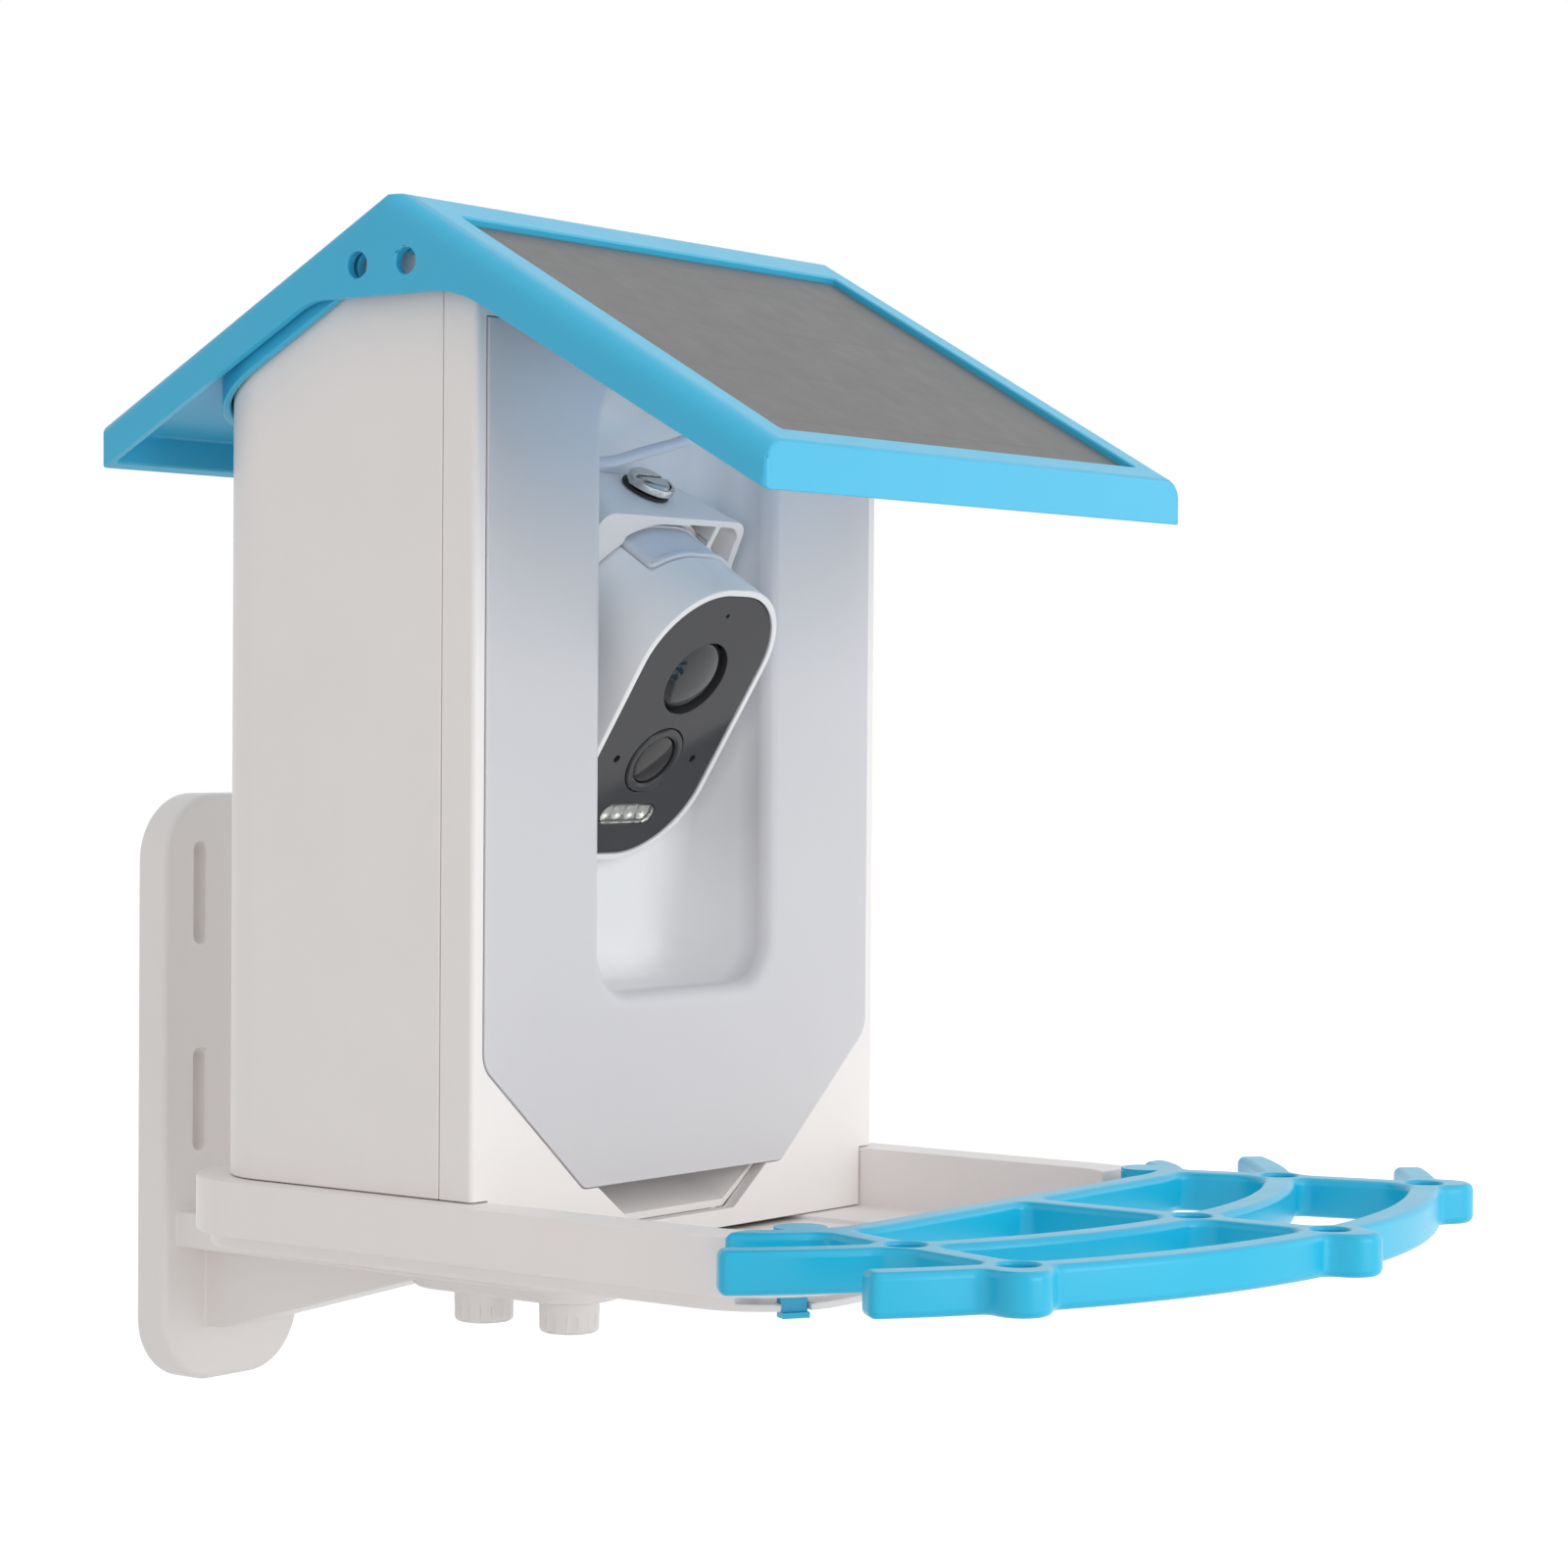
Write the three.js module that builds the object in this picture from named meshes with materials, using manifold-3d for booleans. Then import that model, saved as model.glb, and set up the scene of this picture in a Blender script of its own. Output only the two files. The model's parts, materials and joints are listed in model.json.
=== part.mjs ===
// Bird feeder with a camera, held by a wall bracket.
// Millimetres, X to the right seen from the front, Y towards the wall, Z up.
// The parts are set out in the feeder's own datum: Y = 0 on the front frame's face and Z = 0 on the
// tray rim's top. The finished group is moved so that the wall plate's back centre is the origin.
import * as THREE from "three";
import { mergeVertices } from "three/addons/utils/BufferGeometryUtils.js";
import Module from "manifold-3d";

const wasm = await Module();
wasm.setup();

// General clearances and counts
const gap = 0.3;
const overrun = 1;
const weld = 0.0001;
const arcSteps = 4;
const fineSteps = 5;
const bendSteps = 2;
const roundSides = 20;
const smallSides = 12;
const cableSides = 8;

// Roof
const roofLength = 190;
const ridgeY = 23.4;
const ridgeZ = 259.3;
const frontRun = 121.4;
const rearRun = 106.4;
const frontPitch = THREE.MathUtils.degToRad(29.5);
const rearPitch = THREE.MathUtils.degToRad(28);
const frontEaveHeight = 12.3;
const rearEaveHeight = 11.6;
const gableWebZ = 232;
const gableWebFrontY = 1.2;
const gableWebRearY = 52;
const gableWebFrontRadius = 36;
const gableWebRearRadius = 20;
const roofWall = 3;
const gableWall = 3.1;
const ridgeRadius = 9;
const gableFillet = 7;
const rearGableFillet = 3.5;
const eaveCornerRadius = 2;
const eaveEdgeRadius = 2;
const hangHole = 6.8;
const hangHoleZ = 240.2;
const hangHoleYs = [17.85, 34.7];
const skirtGap = 0.8;
const skirtWall = 2.3;
const skirtDrop = 15.2;
const skirtFrontY = 14;

// Solar panel in the front slope
const panelLength = 162;
const panelWidth = 118.8;
const panelFromRidge = 13.8;
const panelThickness = 2.6;
const panelSink = 1.9;
const panelLedge = 2;
const panelLedgeWidth = 5;
const panelSeatWall = 4;
const partColor = 0xd8dade;
const junctionLength = 34;
const junctionWidth = 20;
const junctionHeight = 5;
const junctionX = 30;
const junctionFromRidge = 29.6;
const glandRadius = 3.4;
const glandLength = 4;
const glandFromRidge = 24;

// House
const houseHalfWidth = 87.4;
const houseRearY = 99.3;
const houseCornerRadius = 22;
const houseWall = 2.5;
const wallTopDrop = 8.8;
const frameThickness = 4;
const flangeDepth = 11.3;
const frameTopZ = 234;
const frameEdgeRadius = 1.6;

// Window panel and the camera pocket moulded in it
const windowHalfWidth = 83.2;
const windowTopZ = 226;
const windowKneeZ = 34.6;
const windowFootHalfWidth = 43;
const windowFootZ = -0.1;
const windowCornerRadius = 8;
const windowThickness = 2.4;
const windowProud = 0.5;
const windowLip = 4;
const outletHalfTop = 37.3;
const outletHalfFoot = 22;
const outletFootZ = -11.5;
const hookZs = [178.4, 116.1, 56.1];
const hookHeight = 17;
const hookWidth = 2.6;
const pocketHalfWidth = 36.2;
const pocketFootZ = 50.7;
const pocketTopZ = 212.5;
const pocketCorner = 12;
const pocketFlare = 4.5;
const pocketWall = 2;
const pocketBackZ = 193;
const pocketBackY = 24.5;
const pocketBackLean = 0.11;
const pocketBackFillet = 9;
const pocketSteps = 3;

// Tray
const trayHalfWidth = 94.4;
const trayFrontY = -104.3;
const trayRearY = 110;
const trayCornerRadius = 30;
const trayBandHeight = 14.8;
const trayRingHeight = 4;
const trayRingInset = 4;
const trayRimWidth = 12.9;
const trayLipWidth = 2.6;
const trayLipDrop = 1.4;
const trayRimFrontY = -85;
const trayFloor = 2;
const troughHalfWidth = 53.5;
const troughDepth = 1.3;
const rimRoof = 2.6;
const rimRoomInset = 6.4;
const rimRoomWidth = 4;
const padHalfWidth = 19;
const padFrontY = 30;
const padInset = 4;
const bossWall = 2;
const screwSeat = 4;

// Perch
const perchTopZ = 2;
const perchHeight = 10.5;
const perchBar = 8.6;
const perchLobe = 7.4;
const perchHole = 9.8;
const innerArcReach = 160;
const innerArcCentreY = 6;
const outerArcReach = 198.5;
const outerArcCentreY = 3.5;
const innerArcEndX = 122.2;
const outerArcEndX = 128.3;
const spokeRootX = 79;
const spokeInnerX = 87.7;
const spokeOuterX = 98;
const fingerX = 79;
const fingerY = -98;
const fingerInset = 5.9;
const perchSteps = 16;
const lobeRadius = 6.5;
const railEndY = -90;
const rootY = -108.5;
const noseReach = 6;
const noseX = 0.77;
const noseY = 0.64;
const arcPieces = 14;
const fingerWidth = 7;
const fingerThickness = 2.6;
const fingerHook = 1.6;
const fingerHookHeight = 1.4;
const fingerNotch = 2.9;

// Wall bracket
const plateBackY = 184.6;
const plateCentreZ = 13.2;
const plateHalfWidth = 28.3;
const plateHeight = 175;
const plateThickness = 11.6;
const plateCorner = 20;
const slotLength = 30.4;
const slotWidth = 5;
const slotX = 14.3;
const slotZs = [71.4, 9.9];
const armHalfWidth = 23.3;
const armTopZ = -22.5;
const armThickness = 10.8;
const armFrontY = 20;
const armPadHeight = 4.7;
const armPadRearY = 94;
const gussetHalfWidth = 11.5;
const gussetFootZ = -58.1;
const gussetFrontY = 84.5;
const gussetFrontZ = -35;
const gussetToe = 6.3;
const armPadHalfWidth = 14;
const armPadFrontY = 27;
const armRoundShare = 0.98;
const screwYs = [41, 72.7];
const knobRadius = 8.5;
const knobHeight = 9.2;
const knobFlutes = 8;
const knobFlute = 5;
const knobFluteDepth = 0.5;
const knobCollar = 1.9;
const studRadius = 3;
const insertRadius = 4.6;
const insertHeight = 6;

// Camera, set out in its own frame: X right, Y back along the view axis, Z up along the face
const cameraPitch = THREE.MathUtils.degToRad(32.74);
const cameraY = 5.38;
const cameraZ = 121.57;
const bodyHalfWidth = 27.4;
const bodyHalfHeight = 43.95;
const bodyCorner = 24.3;
const bodyDepth = 62;
const bodyWall = 1.9;
const bodyRearEdge = 5;
const faceSink = 0.5;
const faceThickness = 2;
const pirZ = 15.4;
const pirRadius = 10.4;
const pirHole = 11.4;
const lensZ = -11.1;
const lensHole = 10.5;
const lensRadius = 7.6;
const crownShare = 0.6;
const ledZ = -28.9;
const ledHalfLength = 11.2;
const ledRadius = 3;
const micRadius = 0.6;
const micZ = 35.5;
const sensorX = 16.5;
const sensorZ = -10.6;
const sensorRadius = 1.1;
const ringScrewY = 44;
const headRadius = 6.1;
const headHeight = 3.2;
const headSideShare = 0.7;
const bailRadius = 7.6;
const bailWall = 1.2;
const washerRadius = 7.4;
const washerHeight = 0.9;
const shankRadius = 3;
const shankLength = 9.6;
const coverHalfWidth = 17.6;
const coverFrontY = 17.5;
const coverRearY = 33.5;
const coverThickness = 1.3;
const coverSeat = 0.3;
const portHalfWidth = 15;
const portFrontY = 20.5;
const portRearY = 31;
const buttonRadius = 2;
const buttonX = 10;

const faceSides = 24;
const faceDepth = 4;
const faceWall = 1.1;
const pirCupDepth = 8;
const lensBarrelDepth = 11;
const tripodRadius = 5;
const tripodFootZ = 37.5;
const socketX = -3;
const socketHalfWidth = 4.6;
const socketHalfDepth = 1.8;
const socketHeight = 6;
const socketSkin = 0.5;
const buttonHeight = 4.8;
const boardY = 15;
const boardThickness = 1.4;
const boardLedge = 2;
const boardCorner = 12;
const boardHalfHeight = 30;
const batteryRadius = 9.1;
const batteryHalf = 30;
const batteryX = 10.5;
const batteryY = 38;
const batteryZ = -1;
const ledShares = [-0.72, -0.24, 0.24, 0.72];
const ledSize = 1.2;
const slotHalf = 0.7;
const slotDepth = 1.3;
const bailZ = 1.5;
const bailPinRadius = 0.7;
const bailPinReach = 1.5;

// Cradle round the camera
const cradleGap = 0.6;
const cradleEndGap = 2;
const cradleWall = 2;
const cradleFrontY = 29.5;
const hoodRearY = 53;
const hoodTopZ = 48.9;
const hoodCorner = 5;
const hoodFlareZ = 34;
const hoodRoomX = 6.5;
const hoodRibX = 18;
const hoodFootZ = 20;
const cradleRearY = bodyDepth + cradleEndGap + cradleWall;
const cradleTabHalfWidth = 20;
const cradleTabFootZ = 60;
const cradleTabHeadZ = 106;
const cradleTabRearY = 60;
const cradleBossX = 14;
const cradleBossZ = 66;
const cradleBossRadius = 4;
const cradleBossLength = 5;

// Seed funnel
const funnelWall = 2;
const funnelSlope = 0.48;
const funnelRearGap = 0.6;
const funnelHalf = 84.4;
const funnelWingZ = 36;
const funnelKneeX = 37;
const funnelKneeZ = -1.5;
const legX = 18;

// Hinge
const hingeY = 103.6;
const hingeZ = 200;
const hingeX = 52;
const knuckleRadius = 3.8;
const knuckleWidth = 12;
const knuckleSide = 6;
const pinRadius = 1.5;
const pinClearance = 0.1;

// Screws
const screwRadius = 1.5;
const screwHeadRadius = 3;
const screwHeadHeight = 2;
const screwLength = 12;
const postRadius = 4;
const postHeight = 14;
const postInset = 5.4;
const bossRadius = 5.5;
const traySpots = [[-1, 22], [1, 22], [-1, 72], [1, 72]];

// Solar cable
const cableRadius = 1.65;
const plugRadius = 4;
const plugLength = 14;
const grommetRadius = 3.4;
const grommetWall = 2.4;
const leadInReach = 4;
const cableLoop = [
  [0, 12.26, 0.03], [-4, 17.05, 1.94], [-11, 18.61, 8.07], [-18, 14.02, 17.56], [-22.5, 4.95, 29.34],
  [-24, -3, 37.3],
];
const cablePoints = [
  [-23.4, 36, 192.2], [-23, 30, 192.5], [-22.6, 22, 192.8], [-20, 17.4, 193],
  [-14, 14.4, 193.9], [-6.5, 12.4, 196.2], [1.2, 11.2, 198.2], [8.6, 10.4, 200.2], [15.4, 9.8, 202.6],
  [20, 9.4, 206.2], [22, 9.2, 210], [22.3, 9.2, 213.5], [22.8, 9.4, 218], [26, 10.2, 224.5],
  [29.4, 10.8, 230.4], [30, 9.6, 234.9],
];
const ceilingHoleX = 22.2;
const ceilingHoleY = 9.2;
const backHoleX = -23;
const backHoleZ = 192.5;

// Turns a closed geometry into a solid for cutting and joining, facing outwards
function solidOf(geometry) {
  const bare = geometry.clone();
  bare.deleteAttribute("normal");
  bare.deleteAttribute("uv");
  const merged = mergeVertices(bare, weld);
  const vertProperties = new Float32Array(merged.attributes.position.array);
  const triVerts = new Uint32Array(merged.index.array);
  const made = new wasm.Manifold(new wasm.Mesh({ numProp: 3, vertProperties, triVerts }));
  if (made.volume() > 0) return made;
  triVerts.reverse();
  return new wasm.Manifold(new wasm.Mesh({ numProp: 3, vertProperties, triVerts }));
}

function geometryOf(solid) {
  const mesh = solid.getMesh();
  const geometry = new THREE.BufferGeometry();
  geometry.setAttribute("position", new THREE.BufferAttribute(new Float32Array(mesh.vertProperties), 3));
  geometry.setIndex(new THREE.BufferAttribute(new Uint32Array(mesh.triVerts), 1));
  return geometry;
}

function join(first, ...rest) {
  return rest.reduce((sum, next) => sum.add(next), first);
}

function cut(first, ...rest) {
  return rest.reduce((left, next) => left.subtract(next), first);
}

function common(first, ...rest) {
  return rest.reduce((left, next) => left.intersect(next), first);
}

// A solid moved or turned by way of its geometry
function placed(solid, matrix) {
  return solidOf(geometryOf(solid).applyMatrix4(matrix));
}

function mirroredX(solid) {
  return placed(solid, new THREE.Matrix4().makeScale(-1, 1, 1));
}

function box(x0, x1, y0, y1, z0, z1) {
  const geometry = new THREE.BoxGeometry(x1 - x0, y1 - y0, z1 - z0);
  geometry.translate((x0 + x1) / 2, (y0 + y1) / 2, (z0 + z1) / 2);
  return solidOf(geometry);
}

// Outline in the plane of a rounded rectangle about a centre
function roundedRect(halfWidth, halfHeight, radius, centreX = 0, centreY = 0, steps = arcSteps) {
  const corner = Math.min(radius, halfWidth, halfHeight);
  const points = [];
  const corners = [[1, -1, -90], [1, 1, 0], [-1, 1, 90], [-1, -1, 180]];
  for (const [sx, sy, start] of corners) {
    for (let i = 0; i <= steps; i += 1) {
      const angle = THREE.MathUtils.degToRad(start + (90 * i) / steps);
      const x = centreX + sx * (halfWidth - corner) + corner * Math.cos(angle);
      const y = centreY + sy * (halfHeight - corner) + corner * Math.sin(angle);
      points.push(new THREE.Vector2(x, y));
    }
  }
  return points;
}

// Outline with its named corners rounded; each corner is [x, y, radius]
function roundedOutline(corners, steps = arcSteps) {
  const points = [];
  const count = corners.length;
  for (let i = 0; i < count; i += 1) {
    const [x, y, radius] = corners[i];
    const here = new THREE.Vector2(x, y);
    if (!radius) {
      points.push(here);
      continue;
    }
    const before = new THREE.Vector2(...corners[(i + count - 1) % count].slice(0, 2)).sub(here);
    const after = new THREE.Vector2(...corners[(i + 1) % count].slice(0, 2)).sub(here);
    const turn = Math.acos(before.clone().normalize().dot(after.clone().normalize()));
    const reach = radius / Math.tan(turn / 2);
    const start = here.clone().addScaledVector(before.normalize(), reach);
    const end = here.clone().addScaledVector(after.normalize(), reach);
    const middle = before.clone().add(after).normalize();
    const centre = here.clone().addScaledVector(middle, radius / Math.sin(turn / 2));
    const from = Math.atan2(start.y - centre.y, start.x - centre.x);
    let sweep = Math.atan2(end.y - centre.y, end.x - centre.x) - from;
    if (sweep > Math.PI) sweep -= 2 * Math.PI;
    if (sweep < -Math.PI) sweep += 2 * Math.PI;
    for (let k = 0; k <= steps; k += 1) {
      const angle = from + (sweep * k) / steps;
      points.push(new THREE.Vector2(centre.x + radius * Math.cos(angle),
        centre.y + radius * Math.sin(angle)));
    }
  }
  return points;
}

function extruded(points, depth, edge = 0, holes = []) {
  const shape = new THREE.Shape(points);
  shape.holes = holes.map((hole) => new THREE.Path(hole));
  const settings = { depth: depth - 2 * edge, bevelEnabled: edge > 0, steps: 1, curveSegments: arcSteps };
  if (edge > 0) {
    settings.bevelThickness = edge;
    settings.bevelSize = edge;
    settings.bevelOffset = -edge;
    settings.bevelSegments = 2;
  }
  const geometry = new THREE.ExtrudeGeometry(shape, settings);
  geometry.translate(0, 0, edge);
  return geometry;
}

// Plan outline (x, y) raised from z0 to z1
function plan(points, z0, z1, edge = 0, holes = []) {
  return solidOf(extruded(points, z1 - z0, edge, holes).translate(0, 0, z0));
}

// Side outline (y, z) stretched from x0 to x1
function side(points, x0, x1, edge = 0, holes = []) {
  const geometry = extruded(points, x1 - x0, edge, holes);
  const turn = new THREE.Matrix4().set(0, 0, 1, x0, 1, 0, 0, 0, 0, 1, 0, 0, 0, 0, 0, 1);
  return solidOf(geometry.applyMatrix4(turn));
}

// Front outline (x, z) stretched from y0 to y1
function front(points, y0, y1, edge = 0, holes = []) {
  const geometry = extruded(points, y1 - y0, edge, holes);
  const turn = new THREE.Matrix4().set(1, 0, 0, 0, 0, 0, -1, y1, 0, 1, 0, 0, 0, 0, 0, 1);
  return solidOf(geometry.applyMatrix4(turn));
}

function circle(radius, x = 0, y = 0, steps = roundSides) {
  const points = [];
  for (let i = 0; i < steps; i += 1) {
    const angle = (2 * Math.PI * i) / steps;
    points.push(new THREE.Vector2(x + radius * Math.cos(angle), y + radius * Math.sin(angle)));
  }
  return points;
}

// A turned piece about Z from [radius, z] points
function turned(profile, steps = roundSides) {
  return solidOf(new THREE.LatheGeometry(profile.map(([r, z]) => new THREE.Vector2(r, z)), steps)
    .rotateX(Math.PI / 2));
}

// A skin through equal-count rings of points, closed by a fan at each end
function loft(rings) {
  const size = rings[0].length;
  const positions = [];
  for (const ring of rings) for (const point of ring) positions.push(point.x, point.y, point.z);
  const index = [];
  for (let r = 0; r + 1 < rings.length; r += 1) {
    for (let i = 0; i < size; i += 1) {
      const a = r * size + i;
      const b = r * size + ((i + 1) % size);
      index.push(a, b, b + size, a, b + size, a + size);
    }
  }
  for (const [r, flip] of [[0, true], [rings.length - 1, false]]) {
    const centre = rings[r].reduce((sum, p) => sum.add(p), new THREE.Vector3()).divideScalar(size);
    const hub = positions.length / 3;
    positions.push(centre.x, centre.y, centre.z);
    for (let i = 0; i < size; i += 1) {
      const a = r * size + i;
      const b = r * size + ((i + 1) % size);
      if (flip) index.push(b, a, hub);
      else index.push(a, b, hub);
    }
  }
  const geometry = new THREE.BufferGeometry();
  geometry.setAttribute("position", new THREE.BufferAttribute(new Float32Array(positions), 3));
  geometry.setIndex(index);
  return solidOf(geometry);
}

// Roof lines: height of the outer skin at a depth
function roofTopZ(y) {
  if (y < ridgeY) return ridgeZ - (ridgeY - y) * Math.tan(frontPitch);
  return ridgeZ - (y - ridgeY) * Math.tan(rearPitch);
}

const roofFrontY = ridgeY - frontRun;
const roofRearY = ridgeY + rearRun;
const roofHalf = roofLength / 2;
const frontEaveZ = roofTopZ(roofFrontY) - frontEaveHeight;
const rearEaveZ = roofTopZ(roofRearY) - rearEaveHeight;

// A long bar lying on a slope, with its two top edges rounded: it trims the gable edges
function slopeBar(pitch, towardsRear, fillet) {
  const reach = frontRun + rearRun;
  const outline = roundedRect(roofHalf, reach, fillet);
  const bar = front(outline.map((p) => new THREE.Vector2(p.x, p.y - reach)), -reach, reach);
  const angle = towardsRear ? -pitch : pitch;
  const turn = new THREE.Matrix4().makeTranslation(0, ridgeY, ridgeZ)
    .multiply(new THREE.Matrix4().makeRotationX(angle));
  return placed(bar, turn);
}

// A block in the front slope's own frame: x along the eave, u down the slope, depth below the skin
const slopeMatrix = new THREE.Matrix4().makeTranslation(0, ridgeY, ridgeZ)
  .multiply(new THREE.Matrix4().makeRotationX(frontPitch));

function slopeBlock(halfLength, u0, u1, depth0, depth1, centreX = 0) {
  return placed(box(centreX - halfLength, centreX + halfLength, -u1, -u0, -depth1, -depth0), slopeMatrix);
}

// The house's plan outline, grown by an offset
function housePlan(offset, frontY) {
  const half = houseHalfWidth + offset;
  const rear = houseRearY + offset;
  const radius = houseCornerRadius + offset;
  return roundedOutline([[-half, frontY, 0], [half, frontY, 0], [half, rear, radius], [-half, rear,
    radius]]);
}

// Everything below the roof skin lowered by a drop, as a block to keep
function underRoof(drop, y0, y1, halfWidth) {
  const low = -trayBandHeight;
  const points = [[y0, low], [y1, low], [y1, roofTopZ(y1) - drop], [ridgeY, ridgeZ - drop], [y0,
    roofTopZ(y0) - drop]];
  return side(points.map(([y, z]) => new THREE.Vector2(y, z)), -halfWidth, halfWidth);
}

function roofShell() {
  const profile = roundedOutline([
    [roofFrontY, frontEaveZ, 0],
    [gableWebFrontY, gableWebZ, gableWebFrontRadius],
    [gableWebRearY, gableWebZ, gableWebRearRadius],
    [roofRearY, rearEaveZ, 0],
    [roofRearY, roofTopZ(roofRearY), eaveEdgeRadius],
    [ridgeY, ridgeZ, ridgeRadius],
    [roofFrontY, roofTopZ(roofFrontY), eaveEdgeRadius],
  ], arcSteps / 2);
  const corners = plan(
    roundedRect(roofHalf, (roofRearY - roofFrontY) / 2, eaveCornerRadius, 0,
      (roofRearY + roofFrontY) / 2, arcSteps / 2),
    rearEaveZ - roofLength, ridgeZ + overrun);
  const outer = common(side(profile, -roofHalf, roofHalf), slopeBar(frontPitch, false, gableFillet),
    slopeBar(rearPitch, true, rearGableFillet), corners);
  const skinDrop = roofWall / Math.cos(frontPitch);
  const innerHalf = roofHalf - gableWall;
  const hollowFront = roofFrontY + roofWall;
  const hollowRear = roofRearY - roofWall;
  const hollowFoot = frontEaveZ - ridgeRadius;
  const hollow = side([
    new THREE.Vector2(hollowFront, hollowFoot),
    new THREE.Vector2(hollowRear, hollowFoot),
    new THREE.Vector2(hollowRear, roofTopZ(hollowRear) - skinDrop),
    new THREE.Vector2(ridgeY, ridgeZ - skinDrop - ridgeRadius / 4),
    new THREE.Vector2(hollowFront, roofTopZ(hollowFront) - skinDrop),
  ], -innerHalf, innerHalf);
  const seatDepth = panelSink + panelThickness + panelLedge;
  const seatTop = panelFromRidge - panelSeatWall;
  const seatFoot = panelFromRidge + panelWidth + panelSeatWall;
  const seatFootEnd = Math.min(seatFoot, frontRun / Math.cos(frontPitch) - roofWall);
  const seat = slopeBlock(panelLength / 2 + panelSeatWall, seatTop, seatFootEnd, roofWall / 2, seatDepth);
  const recess = slopeBlock(panelLength / 2, panelFromRidge, panelFromRidge + panelWidth,
    -ridgeRadius, panelSink + panelThickness);
  const window = slopeBlock(panelLength / 2 - panelLedgeWidth, panelFromRidge + panelLedgeWidth,
    panelFromRidge + panelWidth - panelLedgeWidth, -overrun, seatDepth + overrun);
  const holes = hangHoleYs.map((y) => side(circle(hangHole / 2, y, hangHoleZ, smallSides),
    -roofHalf - overrun,
    roofHalf + overrun));
  const skirtRing = cut(
    plan(housePlan(skirtGap + skirtWall, skirtFrontY), rearEaveZ - roofWall, ridgeZ),
    plan(housePlan(skirtGap, skirtFrontY - overrun), rearEaveZ - roofLength, ridgeZ + overrun));
  const skirtBand = cut(underRoof(roofWall / 2, skirtFrontY, hollowRear, innerHalf),
    underRoof(skirtDrop, skirtFrontY - overrun, hollowRear + overrun, roofHalf));
  const notches = knuckleStarts.map((x) => box(x - knuckleWidth / 2 - gap, x + knuckleWidth / 2 + gap,
    houseRearY,
    hollowRear, hingeZ - knuckleRadius, hingeZ + knuckleRadius + 2 * gap));
  const skirt = cut(common(skirtRing, skirtBand), ...notches);
  const bare = cut(join(cut(outer, hollow), common(seat, outer)), recess, window);
  return cut(join(bare, skirt, ...roofKnuckles()), ...holes, ...knucklePinHoles());
}

const knuckleStarts = [-1, 1].map((s) => s * hingeX);

function knuckle(x0, x1, web) {
  const barrel = side(circle(knuckleRadius, hingeY, hingeZ, smallSides), x0, x1);
  return join(barrel, side(web.map(([y, z]) => new THREE.Vector2(y, z)), x0, x1));
}

// Roof knuckles hang from the skirt on both sides of each house knuckle
function roofKnuckles() {
  const skirtInner = houseRearY + skirtGap;
  const skirtOuter = skirtInner + skirtWall;
  const rise = roofTopZ(hingeY) - roofWall - hingeZ;
  const web = [[skirtInner, hingeZ], [hingeY + knuckleRadius / 2, hingeZ],
    [skirtOuter + knuckleRadius / 2, hingeZ + rise],
    [skirtInner, hingeZ + rise]];
  const reach = knuckleWidth / 2 + gap;
  return knuckleStarts.flatMap((x) => [
    knuckle(x - reach - knuckleSide, x - reach, web),
    knuckle(x + reach, x + reach + knuckleSide, web),
  ]);
}

function knucklePinHoles() {
  const reach = knuckleWidth / 2 + gap + knuckleSide + overrun;
  return knuckleStarts.map((x) => side(circle(pinRadius + pinClearance, hingeY, hingeZ, smallSides),
    x - reach, x + reach));
}

function hingePin() {
  const half = knuckleWidth / 2 + gap + knuckleSide;
  return side(circle(pinRadius, 0, 0, smallSides), -half, half);
}

function solarPanel() {
  const halfLength = panelLength / 2 - gap;
  const halfWidth = panelWidth / 2 - gap;
  return plan(roundedRect(halfLength, halfWidth, panelSink, 0, 0, bendSteps), -panelThickness + gap, 0,
    gap);
}

function junctionBox() {
  const body = plan(roundedRect(junctionLength / 2, junctionWidth / 2, glandRadius, 0, 0, bendSteps),
    -junctionHeight, 0, overrun);
  const glandY = junctionFromRidge - glandFromRidge;
  const gland = plan(circle(glandRadius, 0, glandY, smallSides), -junctionHeight - glandLength,
    -junctionHeight + overrun);
  const bore = plan(circle(cableRadius + gap, 0, glandY, smallSides),
    -junctionHeight - glandLength - overrun, -junctionHeight);
  return cut(join(body, gland), bore);
}

function houseShell() {
  const outer = plan(housePlan(0, flangeDepth + gap), gap, ridgeZ);
  const inner = plan(housePlan(-houseWall, flangeDepth - overrun), -overrun, ridgeZ + overrun);
  const shell = common(cut(outer, inner), underRoof(wallTopDrop, 0, houseRearY + overrun,
    houseHalfWidth + overrun));
  const posts = traySpots.map(([sx, y]) => {
    const x = postX(sx);
    const post = plan(circle(postRadius, x, y, smallSides), gap, gap + postHeight);
    const wallX = sx * (houseHalfWidth - houseWall / 2);
    const rib = box(Math.min(x, wallX), Math.max(x, wallX), y - houseWall / 2, y + houseWall / 2, gap,
      gap + postHeight);
    return join(post, rib);
  });
  const pilots = traySpots.map(([sx, y]) => plan(circle(screwRadius + gap, postX(sx), y, smallSides),
    -overrun, screwLength - screwHeadHeight));
  const webs = knuckleStarts.map((x) => knuckle(x - knuckleWidth / 2, x + knuckleWidth / 2, [
    [houseRearY - houseWall / 2, hingeZ - knuckleWidth],
    [houseRearY, hingeZ - knuckleWidth],
    [hingeY + knuckleRadius / 2, hingeZ - knuckleRadius / 2],
    [hingeY, hingeZ + knuckleRadius / 2],
    [houseRearY - houseWall / 2, hingeZ + knuckleRadius / 2],
  ]));
  return cut(join(shell, ...posts, ...webs), ...pilots, ...knucklePinHoles());
}

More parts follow.
